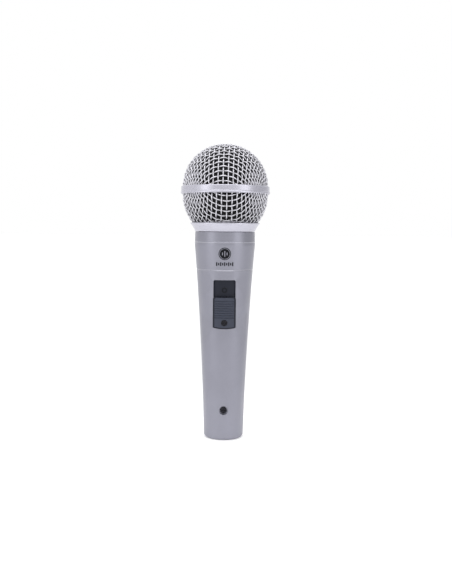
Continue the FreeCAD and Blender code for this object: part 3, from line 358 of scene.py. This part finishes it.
def make_materials():
    """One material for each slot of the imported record."""
    made = {
        "silver_paint": surface("silver_paint", (0.286, 0.286, 0.338), (0.266, 0.266, 0.314), patch=45,
                                metallic=0.75, roughness=0.37, spread=0.03, grain=4200, depth=0.006,
                                Coat_Weight=0.12, Coat_Roughness=0.3),
        "bright_paint": surface("bright_paint", (0.54, 0.535, 0.61), (0.51, 0.505, 0.578), patch=50,
                                metallic=0.65, roughness=0.31, spread=0.03, grain=4200, depth=0.004,
                                Coat_Weight=0.2, Coat_Roughness=0.2),
        "grille_wire": surface("grille_wire", (0.80, 0.795, 0.85), (0.66, 0.655, 0.70), patch=500,
                               metallic=0.9, roughness=0.36, spread=0.06, grain=3000, depth=0.01),
        "pop_foam": surface("pop_foam", (0.012, 0.012, 0.014), (0.006, 0.006, 0.007), patch=900,
                            roughness=0.95, spread=0.03, pattern="pores", grain=1400, depth=0.25),
        "black_plastic": surface("black_plastic", (0.016, 0.018, 0.029), (0.013, 0.015, 0.024), patch=80,
                                 roughness=0.42, grain=5000, depth=0.012, Specular_IOR_Level=0.2),
        "slider_plastic": surface("slider_plastic", (0.043, 0.049, 0.073), (0.038, 0.043, 0.064),
                                  patch=90, roughness=0.46, spread=0.05, grain=5200, depth=0.014,
                                  Specular_IOR_Level=0.3),
        "black_screw": surface("black_screw", (0.011, 0.011, 0.015), (0.02, 0.02, 0.026), patch=900,
                               metallic=0.7, roughness=0.26, spread=0.1, grain=2500, depth=0.012),
        "zinc_steel": surface("zinc_steel", (0.58, 0.58, 0.56), (0.5, 0.51, 0.53), patch=320,
                              metallic=1.0, roughness=0.3, spread=0.08, pattern="cells", grain=900,
                              depth=0.01),
        "soft_iron": surface("soft_iron", (0.42, 0.42, 0.43), (0.36, 0.36, 0.37), patch=200,
                             metallic=1.0, roughness=0.42, spread=0.08, stretch=(0.05, 0.05, 1),
                             grain=6000, depth=0.008),
        "magnet_nickel": surface("magnet_nickel", (0.62, 0.6, 0.56), (0.55, 0.53, 0.5), patch=260,
                                 metallic=1.0, roughness=0.22, spread=0.06, grain=2200, depth=0.005),
        "copper_wire": surface("copper_wire", (0.7, 0.26, 0.1), (0.52, 0.17, 0.06), patch=700,
                               metallic=1.0, roughness=0.28, spread=0.05, pattern="waves", grain=3200,
                               depth=0.04),
        "film": surface("film", (0.42, 0.4, 0.36), (0.5, 0.48, 0.42), patch=300, roughness=0.16,
                        spread=0.05, grain=700, depth=0.02, Transmission_Weight=0.55, IOR=1.5),
        "felt": surface("felt", (0.055, 0.055, 0.06), (0.03, 0.03, 0.034), patch=2200, roughness=0.95,
                        spread=0.03, grain=6000, depth=0.12, Sheen_Weight=0.35),
        "capsule_plastic": surface("capsule_plastic", (0.02, 0.02, 0.022), (0.028, 0.028, 0.03),
                                   patch=150, roughness=0.38, grain=3600, depth=0.012),
        "rubber": surface("rubber", (0.02, 0.02, 0.02), (0.034, 0.033, 0.032), patch=240, roughness=0.72,
                          spread=0.1, grain=1800, depth=0.03),
        "board": surface("board", (0.2, 0.11, 0.045), (0.16, 0.085, 0.035), patch=600, roughness=0.42,
                         spread=0.07, stretch=(1, 1, 0.15), grain=3000, depth=0.01, Coat_Weight=0.3),
        "insert_plastic": surface("insert_plastic", (0.006, 0.0065, 0.009), (0.009, 0.0095, 0.012),
                                  patch=220, roughness=0.45, grain=3000, depth=0.012,
                                  Specular_IOR_Level=0.12),
        "contact_plating": surface("contact_plating", (0.74, 0.71, 0.64), (0.66, 0.62, 0.55), patch=420,
                                   metallic=1.0, roughness=0.2, spread=0.07, stretch=(1, 1, 0.1),
                                   grain=4200, depth=0.006),
        "spring_bronze": surface("spring_bronze", (0.62, 0.4, 0.18), (0.5, 0.31, 0.14), patch=380,
                                 metallic=1.0, roughness=0.3, spread=0.08, grain=2600, depth=0.008),
        "lead_red": surface("lead_red", (0.42, 0.02, 0.015), patch=400, roughness=0.38, grain=2500,
                            depth=0.015),
        "lead_black": surface("lead_black", (0.014, 0.014, 0.015), (0.022, 0.022, 0.022), patch=400,
                              roughness=0.38, grain=2500, depth=0.015),
        "lead_yellow": surface("lead_yellow", (0.62, 0.42, 0.02), patch=400, roughness=0.38, grain=2500,
                               depth=0.015),
    }
    # Painted shade in the weave's dips and on the lower dome.
    add_hollows(made["grille_wire"])
    add_flakes(made["silver_paint"], amount=0.10, size=0.09)
    add_flakes(made["bright_paint"], amount=0.04, size=0.09)
    # Painted highlight on the handle's lip and groove.
    add_rings(made["silver_paint"], [(LIP_LEVEL, LIP_HALF, LIP_HIGHLIGHT_METAL),
                                     (LINE_LEVEL, LINE_HALF, LINE_HIGHLIGHT_METAL)])
    return made


def dress_cad_nodes():
    """Give each carried-over CAD node the material of its slot in the record."""
    for part in frame["record"]["subparts"]:
        node = frame["nodes"][part["node"]]
        node.data.materials.clear()
        node.data.materials.append(materials[part["material_slot"]])


# ---------------------------------------------------------------- mesh helpers

def make_mesh(name, points, faces, material, smooth=False):
    """A mesh object from points in metres in the shared frame."""
    mesh = bpy.data.meshes.new(name)
    mesh.from_pydata([tuple(point) for point in points], [], faces)
    mesh.validate()
    mesh.polygons.foreach_set("use_smooth", [smooth] * len(mesh.polygons))
    mesh.materials.append(material)
    made = bpy.data.objects.new(name, mesh)
    bpy.context.scene.collection.objects.link(made)
    return made


def piece(name, points, faces, slot, body=None, smooth=True):
    """A piece of the microphone that takes its finish from a slot and rides a body."""
    made = make_mesh(name, points, faces, materials[slot], smooth)
    if body:
        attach(made, body)
    return made


def crease(made, angle=35):
    """Smooth shading that stays sharp over edges steeper than angle."""
    made.data.set_sharp_from_angle(angle=math.radians(angle))


def stitched(rings, closed_run=False):
    """Faces between successive rings of equal length, numbered in order; an open run is capped."""
    faces = []
    size = len(rings[0])
    spans = len(rings) if closed_run else len(rings) - 1
    for run in range(spans):
        here, there = run * size, (run + 1) % len(rings) * size
        for side in range(size):
            after = (side + 1) % size
            faces.append((here + side, here + after, there + after, there + side))
    if not closed_run:
        faces.append(tuple(reversed(range(size))))
        faces.append(tuple(range((len(rings) - 1) * size, len(rings) * size)))
    return faces


def lathe(profile, sides):
    """Points and faces of a closed profile of (radius, height) in mm turned round the axis."""
    rings = []
    for side in range(sides):
        angle = 2 * math.pi * side / sides
        rings.append([Vector((radius * math.cos(angle), radius * math.sin(angle), height)) * MM
                      for radius, height in profile])
    return [point for ring in rings for point in ring], stitched(rings, closed_run=True)


# ---------------------------------------------------------------- woven wire grille

WIRE_PITCH = {"upper": 2.78, "lower": 2.88}
WIRE_RADIUS = 0.37
WIRE_CRIMP = 0.37
WIRE_SIDES = 8
# Knots of the net for each pitch, and how far in degrees each half is turned and tilted.
NET_STEPS = 6
NET_TURNS = {"upper": -3.0, "lower": 2.0}
NET_TILTS = {"upper": -1.9, "lower": 2.5}


def net_quadrant(radius, step, lowest):
    """Knots of a square net pulled over a sphere, from its pole over one quadrant, as unit vectors.

    Each cell keeps its four side lengths and shears, as woven wire does when it is drawn into a
    dome: the two threads through the pole follow great circles, and every further knot is the
    mirror image of the knot across its cell.
    """
    arc = step / radius
    count = int((math.pi / 2 - math.asin(lowest)) / arc) + 2
    knots = np.full((count, count, 3), np.nan)
    for index in range(count):
        knots[index, 0] = (math.sin(index * arc), 0, math.cos(index * arc))
        knots[0, index] = (0, math.sin(index * arc), math.cos(index * arc))
    slack = 2 * arc
    for row in range(1, count):
        for column in range(1, count):
            across = np.cross(knots[row, column - 1], knots[row - 1, column])
            length = np.linalg.norm(across)
            # The length is not a number beside a missing knot, and nil where the cell folds.
            if not length > 1e-9:
                continue
            across /= length
            behind = knots[row - 1, column - 1]
            knot = behind - 2 * np.dot(behind, across) * across
            if knot[2] > lowest - slack:
                knots[row, column] = knot
    return knots


def net_threads(knots, steps):
    """Threads of both families over the whole dome: (family, number, pitches along, unit vectors)."""
    count = len(knots)
    threads = []
    for family in (0, 1):
        for offset in range(0, count, steps):
            for side in (-1, 1) if offset else (1,):
                along, points = [], []
                for index in range(1 - count, count):
                    pair = (abs(index), offset) if family == 0 else (offset, abs(index))
                    if np.isnan(knots[pair]).any():
                        continue
                    x, y, z = knots[pair]
                    signs = (1 if index >= 0 else -1, side)
                    if family == 1:
                        signs = signs[::-1]
                    along.append(index / steps)
                    points.append((x * signs[0], y * signs[1], z))
                if len(points) > 2:
                    threads.append((family, offset // steps, np.array(along), np.array(points)))
    return threads


def cut_to_levels(points, low, high):
    """The parts of a line of points whose third coordinate lies from low to high, ends included."""
    pieces, current = [], []
    for before, after in zip(points[:-1], points[1:]):
        span = after[2] - before[2]
        starts, ends = 0.0, 1.0
        if abs(span) > 1e-12:
            first, last = sorted(((low - before[2]) / span, (high - before[2]) / span))
            starts, ends = max(starts, first), min(ends, last)
        elif not low <= before[2] <= high:
            starts = 2.0
        if starts >= ends:
            if len(current) > 2:
                pieces.append(np.array(current))
            current = []
            continue
        if not current:
            current.append(before + (after - before) * starts)
        current.append(before + (after - before) * ends)
        if ends < 1:
            if len(current) > 2:
                pieces.append(np.array(current))
            current = []
    if len(current) > 2:
        pieces.append(np.array(current))
    return pieces


def wire_tube(line, centre):
    """Rings of a round wire along a line on a dome, square to the line."""
    tangents = np.gradient(line, axis=0)
    tangents /= np.linalg.norm(tangents, axis=1)[:, None]
    outward = line - centre
    outward -= (outward * tangents).sum(axis=1)[:, None] * tangents
    outward /= np.linalg.norm(outward, axis=1)[:, None]
    sideways = np.cross(tangents, outward)
    rings = []
    for point, out, aside in zip(line, outward, sideways):
        rings.append([point + WIRE_RADIUS * (math.cos(turn) * out + math.sin(turn) * aside)
                      for turn in np.arange(WIRE_SIDES) * 2 * math.pi / WIRE_SIDES])
    return rings


def woven_dome(name, half, centre_level, low, high, node):
    """Half of the ball in woven wire, from height low to height high, in place of a CAD node."""
    upper = half == "upper"
    pitch = WIRE_PITCH[half]
    turn, tilt = (math.radians(angles[half]) for angles in (NET_TURNS, NET_TILTS))
    radius = MESH_RADIUS - WIRE_RADIUS - WIRE_CRIMP
    facing = 1 if upper else -1
    reach = (centre_level - low) if upper else (high - centre_level)
    knots = net_quadrant(radius, pitch / NET_STEPS, -(reach + pitch) / radius)
    centre = np.array((0, 0, centre_level))
    turned = np.array([[math.cos(turn), -math.sin(turn), 0],
                       [math.sin(turn), math.cos(turn), 0],
                       [0, 0, 1]])
    tilted = np.array([[1, 0, 0],
                       [0, math.cos(tilt), -math.sin(tilt)],
                       [0, math.sin(tilt), math.cos(tilt)]])
    points, faces = [], []
    for family, thread, along, line in net_threads(knots, NET_STEPS):
        wave = np.cos(math.pi * along) * (1 if thread % 2 == 0 else -1)
        height = radius + WIRE_CRIMP * wave * (1 if family == 0 else -1)
        line = (line * height[:, None]) @ turned.T * (1, 1, facing) @ tilted.T + centre
        for part in cut_to_levels(line, low, high):
            rings = wire_tube(part, centre)
            start = len(points)
            points += [Vector(point) * MM for ring in rings for point in ring]
            faces += [tuple(start + corner for corner in face) for face in stitched(rings)]
    dome = piece(name, points, faces, "grille_wire", "grille_group")
    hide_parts(node)


def make_grille():
    """Both halves of the woven ball; their cut edges end inside the band and the collar."""
    woven_dome("woven_wire_upper", "upper", UPPER_CENTRE, UPPER_EDGE, UPPER_CENTRE + 2 * MESH_RADIUS,
               "grille_mesh_upper")
    woven_dome("woven_wire_lower", "lower", LOWER_CENTRE, COLLAR_LEDGE, LOWER_EDGE,
               "grille_mesh_lower")


# ---------------------------------------------------------------- foam, felt and cloth

FOAM_RADIUS, FOAM_BORE = 22.86, 20.7
FOAM_LOW, FOAM_NECK, FOAM_BEVEL = 122.65, 16.5, 0.3
CELL_SIZE, CELL_DEPTH, CELL_REACH = 1.1, 0.32, 0.62
SWELL_SIZE, SWELL_DEPTH = 4, 0.14
# Just short of upright, so that the crown's ring does not close to a point.
CROWN_ANGLE = math.pi / 2 - 0.004


def foam_profile(radius, rows):
    """Half outline of the liner at one wall, from its open bottom to its crown."""
    drop = LOWER_CENTRE - FOAM_LOW
    bottom = math.asin(drop / radius) if radius > FOAM_BORE else math.acos(FOAM_NECK / radius)
    lower = [(radius * math.cos(angle), LOWER_CENTRE - radius * math.sin(angle))
             for angle in np.linspace(bottom, 0, rows // 3)]
    upper = [(radius * math.cos(angle), UPPER_CENTRE + radius * math.sin(angle))
             for angle in np.linspace(0, CROWN_ANGLE, rows)]
    return lower + upper


def make_foam():
    """Open-cell foam ball that lines the grille, with cells cut by its faces."""
    outer = foam_profile(FOAM_RADIUS, rows=110)
    inner = foam_profile(FOAM_BORE, rows=40)
    rim = [(FOAM_NECK, FOAM_LOW + FOAM_BEVEL), (FOAM_NECK + FOAM_BEVEL, FOAM_LOW)]
    profile = outer + inner[::-1] + rim
    points, faces = lathe(profile, sides=300)
    size = len(profile)
    for number, point in enumerate(points):
        if number % size >= len(outer):
            continue
        middle = Vector((0, 0, min(max(point.z, LOWER_CENTRE * MM), UPPER_CENTRE * MM)))
        out = (point - middle).normalized()
        nearest = noise.voronoi(point / (CELL_SIZE * MM))[0][0]
        pit = CELL_DEPTH * max(0.0, CELL_REACH - nearest)
        swell = SWELL_DEPTH * (noise.noise(point / (SWELL_SIZE * MM)) + 1) / 2
        points[number] = point - out * (pit + swell) * MM
    foam = piece("foam_ball", points, faces, "pop_foam", "foam_group")
    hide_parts("foam_liner")


FELT_BORE, FELT_GAP, FELT_CROWN = 6.85, 0.05, 0.96
FUZZ_SIZE, FUZZ_DEPTH = 0.5, 0.03


def make_felt():
    """Felt washer behind the capsule's ports, with a fuzzy, softly crowned section."""
    low, high = (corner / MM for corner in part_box("rear_felt"))
    middle, half = (low.z + high.z) / 2, (high.z - low.z) / 2
    outer, inner = high.x - FELT_GAP, FELT_BORE
    corners = 5
    profile = []
    for centre, start in ((outer - half, -90), (inner + half, 90)):
        for step in range(corners):
            turn = math.radians(start + 180 * step / (corners - 1))
            rise = half * FELT_CROWN * math.sin(turn)
            profile.append((centre + half * math.cos(turn), middle + rise))
    points, faces = lathe(profile, sides=160)
    points = [point + noise.noise_vector(point / (FUZZ_SIZE * MM)) * FUZZ_DEPTH * MM
              for point in points]
    felt = piece("felt_washer", points, faces, "felt", "capsule_group")
    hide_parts("rear_felt")


CLOTH_MARGIN = 0.1


def make_screen():
    """Woven cloth disc stretched over the capsule's front vents."""
    low, high = (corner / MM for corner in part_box("front_screen"))
    radius, level = high.x - CLOTH_MARGIN, (low.z + high.z) / 2
    pitch, thread, lift = 0.8, 0.16, 0.11
    points, faces = [], []
    count = int(radius / pitch)
    for family in (0, 1):
        for number in range(-count, count + 1):
            offset = number * pitch
            half = math.sqrt(max(radius * radius - offset * offset, 0))
            steps = max(int(2 * half / (pitch / 2)), 2)
            start = len(points)
            rings = []
            for step in range(steps + 1):
                along = -half + 2 * half * step / steps
                sign = 1 if (number + family) % 2 == 0 else -1
                height = level + sign * lift * math.cos(math.pi * along / pitch)
                place = (along, offset) if family == 0 else (offset, along)
                side = Vector((0, 1, 0)) if family == 0 else Vector((1, 0, 0))
                centre = Vector((*place, height))
                rings.append([(centre + thread * (math.cos(turn) * side + math.sin(turn) * UP)) * MM
                              for turn in np.arange(4) * math.pi / 2])
            points += [point for ring in rings for point in ring]
            faces += [tuple(start + corner for corner in face) for face in stitched(rings)]
    screen = piece("cloth_screen", points, faces, "felt", "capsule_group")
    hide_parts("front_screen")


# ---------------------------------------------------------------- thread and printed marks

SPIGOT_RADIUS = 14.25
THREAD_CREST = 15.0
THREAD_PITCH = 1.5
THREAD_LOW, THREAD_TURNS = 117.6, 3.3
# Half widths of a thread at its foot and at its crest. Its ends fade to a low stub over some steps.
THREAD_FOOT, THREAD_FLAT = 0.45, 0.12
THREAD_STUB, THREAD_FADE = 0.1, 12


def make_thread():
    """Screw thread on the handle's spigot that the grille's collar turns on."""
    steps_per_turn = 72
    steps = int(THREAD_TURNS * steps_per_turn)
    rings = []
    for step in range(steps + 1):
        angle = 2 * math.pi * step / steps_per_turn
        level = THREAD_LOW + THREAD_PITCH * step / steps_per_turn
        fade = min(1.0, step / THREAD_FADE, (steps - step) / THREAD_FADE)
        stub = SPIGOT_RADIUS + THREAD_STUB
        crest = stub + (THREAD_CREST - stub) * fade
        section = [(SPIGOT_RADIUS, -THREAD_FOOT), (crest, -THREAD_FLAT),
                   (crest, THREAD_FLAT), (SPIGOT_RADIUS, THREAD_FOOT)]
        rings.append([Vector((radius * math.cos(angle), radius * math.sin(angle), level + height)) * MM
                      for radius, height in section])
    points = [point for ring in rings for point in ring]
    thread = piece("spigot_thread", points, stitched(rings), "silver_paint", "handle_group")
    crease(thread)


RAY_START = -50


def front_finder(node):
    """A function that gives the point and normal of a CAD node's front at x, z in mm."""
    mesh = frame["nodes"][node].data
    corners = [vertex.co for vertex in mesh.vertices]
    tree = BVHTree.FromPolygons(corners, [tuple(polygon.vertices) for polygon in mesh.polygons])

    def find(x, z):
        start = Vector((x, RAY_START, z)) * MM
        place, normal, _, _ = tree.ray_cast(start, Vector((0, 1, 0)))
        if normal.y > 0:
            normal = -normal
        return place, normal

    return find


PLATE_ROOT = 0.03


def front_plate(name, find, grid, slot, lift, wrap=False):
    """A thin raised plate that lies on a node's front; grid holds rows of (x, z), joined by wrap."""
    top, bottom = [], []
    for row in grid:
        for x, z in row:
            place, normal = find(x, z)
            top.append(place + normal * lift * MM)
            bottom.append(place - normal * PLATE_ROOT * MM)
    rows, columns = len(grid), len(grid[0])
    size = rows * columns
    faces = []
    spans = columns if wrap else columns - 1
    for row in range(rows - 1):
        for column in range(spans):
            after = (column + 1) % columns
            a, b = row * columns + column, row * columns + after
            c, d = (row + 1) * columns + after, (row + 1) * columns + column
            faces.append((a, b, c, d))
            faces.append((d + size, c + size, b + size, a + size))
    for column in range(spans):
        after = (column + 1) % columns
        faces.append((after, column, column + size, after + size))
        last = (rows - 1) * columns
        faces.append((last + column, last + after, last + after + size, last + column + size))
    if not wrap:
        for row in range(rows - 1):
            here, there = row * columns, (row + 1) * columns
            faces.append((here, there, there + size, here + size))
            here, there = here + columns - 1, there + columns - 1
            faces.append((there, here, here + size, there + size))
    piece(name, top + bottom, faces, slot, "handle_group", smooth=False)


def ring_grid(level, inner, outer, rows=3):
    """Grid of a flat ring about a height on the middle line."""
    sides = 48
    turns = [2 * math.pi * side / sides for side in range(sides)]
    return [[(radius * math.cos(turn), level + radius * math.sin(turn)) for turn in turns]
            for radius in np.linspace(inner, outer, rows)]


def bar_grid(x, z, width, height):
    """Grid of a flat bar about x, z."""
    columns, rows = 3, 5
    return [[(x + width * (column / (columns - 1) - 0.5), z + height * (row / (rows - 1) - 0.5))
             for column in range(columns)] for row in range(rows)]


BADGE_LEVEL = 104.4
BADGE_RADIUS, BADGE_LINE = 3.45, 0.42
BADGE_DISC, PINHOLE = 2.8, 0.05
# Height of each clear bar by its place left or right of the middle one.
BADGE_BARS = {-1: 1.5, 0: 3.1, 1: 1.5}
BAR_PITCH, BAR_WIDTH = 1.25, 0.45
TICK_LEVEL = 98.7
TICKS = 9
TICK_PITCH, TICK_WIDTH = 1.1, 0.66
TALL_TICK, SHORT_TICK = 2.1, 1.4
INK = 0.04


def make_badge():
    """Generic printed mark: a ringed disc with three clear sound bars, over plain scale ticks."""
    find = front_finder("handle")
    disc = ring_grid(BADGE_LEVEL, PINHOLE, BADGE_DISC, rows=6)
    front_plate("badge_disc", find, disc, "insert_plastic", INK, wrap=True)
    ring = ring_grid(BADGE_LEVEL, BADGE_RADIUS - BADGE_LINE, BADGE_RADIUS)
    front_plate("badge_ring", find, ring, "insert_plastic", INK, wrap=True)
    for place, height in BADGE_BARS.items():
        bar = bar_grid(place * BAR_PITCH, BADGE_LEVEL, BAR_WIDTH, height)
        front_plate(f"badge_bar_{place + 2}", find, bar, "silver_paint", 2 * INK)
    for number in range(TICKS):
        x = (number - (TICKS - 1) / 2) * TICK_PITCH
        height = TALL_TICK if number % 2 == 0 else SHORT_TICK
        front_plate(f"scale_tick_{number + 1}", find, bar_grid(x, TICK_LEVEL, TICK_WIDTH, height),
                    "insert_plastic", INK)


OFF_LEVEL, OFF_INNER, OFF_OUTER = 84.2, 0.95, 1.4
ON_LEVEL, ON_WIDTH, ON_HEIGHT = 66.6, 0.5, 2.6
MOULDING = 0.2


def make_switch_marks():
    """Moulded symbols on the switch plate: a ring at the off end and a bar at the on end."""
    find = front_finder("switch_bezel")
    off = ring_grid(OFF_LEVEL, OFF_INNER, OFF_OUTER)
    front_plate("mark_off", find, off, "insert_plastic", MOULDING, wrap=True)
    on = bar_grid(0, ON_LEVEL, ON_WIDTH, ON_HEIGHT)
    front_plate("mark_on", find, on, "insert_plastic", MOULDING)


FIGURE_SIZE, FIGURE_LIFT, FIGURE_CIRCLE = 1.9, 0.08, 6.55


def make_pin_numbers():
    """Moulded figures 1 to 3 beside the connector's contacts."""
    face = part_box("xlr_insert")[0].z
    for number in (1, 2, 3):
        low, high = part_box(f"xlr_pin_{number}")
        contact = (low + high) / 2
        out = Vector((contact.x, contact.y, 0)).normalized()
        curve = bpy.data.curves.new(f"pin_number_{number}", "FONT")
        curve.body = str(number)
        curve.size = FIGURE_SIZE * MM
        curve.extrude = FIGURE_LIFT * MM
        curve.align_x = "CENTER"
        curve.align_y = "CENTER"
        text = bpy.data.objects.new("figure", curve)
        bpy.context.scene.collection.objects.link(text)
        text.rotation_euler = (math.pi, 0, 0)
        text.location = (out.x * FIGURE_CIRCLE * MM, out.y * FIGURE_CIRCLE * MM, face)
        bpy.context.view_layer.update()
        mesh = bpy.data.meshes.new_from_object(text)
        mesh.transform(text.matrix_world)
        bpy.data.objects.remove(text)
        figure = bpy.data.objects.new(f"pin_number_{number}", mesh)
        mesh.name = figure.name
        mesh.materials.clear()
        mesh.materials.append(materials["insert_plastic"])
        bpy.context.scene.collection.objects.link(figure)
        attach(figure, "handle_group")


# ---------------------------------------------------------------- mount, surround and leads

MOUNT_BORE, GRIP_BORE, GRIP_STEP = 10.9, 12.55, 5.75
MOUNT_BEVEL, MOUNT_GAP = 0.3, 0.02
# Ends of the lower and upper flange beside the neck, the neck's own ends, depth and ripple.
FLANGE_END, FLANGE_START = 1.5, 3.8
NECK_START, NECK_LENGTH, NECK_DEPTH, NECK_RIPPLE = 1.75, 1.7, 1.3, 0.12


def make_shock_mount():
    """Rubber sleeve that carries the capsule on a narrowed, rippled neck."""
    low, high = (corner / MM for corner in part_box("shock_mount"))
    outer = high.x - MOUNT_GAP
    neck = outer - NECK_DEPTH
    profile = [(MOUNT_BORE, low.z), (outer - MOUNT_BEVEL, low.z), (outer, low.z + MOUNT_BEVEL),
               (outer, low.z + FLANGE_END)]
    steps = 8
    for step in range(steps + 1):
        ripple = NECK_RIPPLE * math.cos(2 * math.pi * step / steps)
        profile.append((neck + ripple, low.z + NECK_START + NECK_LENGTH * step / steps))
    profile += [(outer, low.z + FLANGE_START), (outer, high.z - MOUNT_BEVEL),
                (outer - MOUNT_BEVEL, high.z), (GRIP_BORE, high.z),
                (GRIP_BORE, low.z + GRIP_STEP), (MOUNT_BORE, low.z + GRIP_STEP)]
    points, faces = lathe(profile, sides=120)
    mount = piece("rubber_mount", points, faces, "rubber")
    crease(mount, 50)
    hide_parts("shock_mount")
    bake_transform(mount)


ROLL_OUTER, ROLL_GAP = 10.4, 0.05
FILM = 0.15
PLEATS, PLEAT_HEIGHT = 24, 0.05


def make_surround():
    """Rolled and pleated film edge between the clamp ring and the moving dome."""
    low, high = (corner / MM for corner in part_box("diaphragm_surround"))
    inner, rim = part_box("diaphragm_dome")[1].x / MM + ROLL_GAP, high.x
    base, crown = low.z, high.z
    rows, sides = 13, 240
    rings = []
    for side in range(sides):
        angle = 2 * math.pi * side / sides
        pleat = PLEAT_HEIGHT * math.sin(PLEATS * angle)
        upper, lower = [], []
        for row in range(rows):
            share = row / (rows - 1)
            radius = inner + (ROLL_OUTER - inner) * share
            rise = (crown - base - FILM) * math.sin(math.pi * share)
            level = base + rise + pleat * math.sin(math.pi * share) ** 2
            upper.append((radius, min(level + FILM, crown)))
            lower.append((radius, level))
        section = upper + [(rim, base + FILM), (rim, base)] + lower[::-1]
        rings.append([Vector((radius * math.cos(angle), radius * math.sin(angle), level)) * MM
                      for radius, level in section])
    points = [point for ring in rings for point in ring]
    surround = piece("film_surround", points, stitched(rings, closed_run=True), "film")
    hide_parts("diaphragm_surround")
    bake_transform(surround)


BOARD_LEVEL, BOARD_FRONT, BOARD_TILT = 75.2, 14.6, 3.9
LEAD_RADIUS = 0.55
# Places of the right-hand lead: on the board, in the board's frame, then up to the capsule's tag.
LEAD_PAD, LEAD_TURN = (3.6, 10.8, 13.2), (3.6, 13.2, 13.2)
LEAD_BEND, TAG_FOOT, TAG_TOP = (4.4, 0.4, 97.0), (3.0, 0.75, 103.4), (3.0, 0.75, 106.0)


def board_point(x, y, z):
    """A point of the tilted switch board's frame in the assembly, in mm."""
    tilt = math.radians(BOARD_TILT)
    return Vector((x, y * math.cos(tilt) - z * math.sin(tilt) - BOARD_FRONT,
                   y * math.sin(tilt) + z * math.cos(tilt) + BOARD_LEVEL))


def rounded_route(corners):
    """Points along straight runs whose corners are rounded over a share of the shorter run."""
    share, steps = 0.45, 8
    route = [corners[0]]
    for before, corner, after in zip(corners[:-2], corners[1:-1], corners[2:]):
        setback = share * min((corner - before).length, (after - corner).length)
        start = corner + (before - corner).normalized() * setback
        end = corner + (after - corner).normalized() * setback
        for step in range(steps + 1):
            along = step / steps
            back = 1 - along
            route.append(start * back ** 2 + corner * 2 * along * back + end * along ** 2)
    return route + [corners[-1]]


def round_tube(route, radius):
    """Points and faces of a round tube along a route in mm."""
    sides = 12
    rings = []
    across = Vector((1, 0, 0))
    for number, point in enumerate(route):
        ahead = route[min(number + 1, len(route) - 1)] - route[max(number - 1, 0)]
        ahead.normalize()
        across = (across - ahead * across.dot(ahead)).normalized()
        beside = ahead.cross(across)
        rings.append([(point + radius * (math.cos(turn) * across + math.sin(turn) * beside)) * MM
                      for turn in np.arange(sides) * 2 * math.pi / sides])
    return [point for ring in rings for point in ring], stitched(rings)


def make_capsule_leads():
    """Two soft leads from the switch board to the capsule's tags."""
    for number, (side, slot) in enumerate(((1, "lead_red"), (-1, "lead_black")), start=1):
        corners = [board_point(side * x, y, z) for x, y, z in (LEAD_PAD, LEAD_TURN)]
        corners += [Vector((side * x, y, z)) for x, y, z in (LEAD_BEND, TAG_FOOT, TAG_TOP)]
        points, faces = round_tube(rounded_route(corners), LEAD_RADIUS)
        tube = piece(f"soft_lead_{number}", points, faces, slot)
        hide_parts(f"capsule_lead_{number}")
        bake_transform(tube)


def finish_scene():
    """Set the plain view of colours."""
    bpy.context.scene.view_settings.view_transform = "Standard"
    bpy.context.scene.view_settings.look = "None"
    bpy.context.view_layer.update()


materials = make_materials()
make_camera()
make_studio()
dress_cad_nodes()
make_grille()
make_foam()
make_felt()
make_screen()
make_thread()
make_badge()
make_switch_marks()
make_pin_numbers()
make_shock_mount()
make_surround()
make_capsule_leads()
finish_scene()
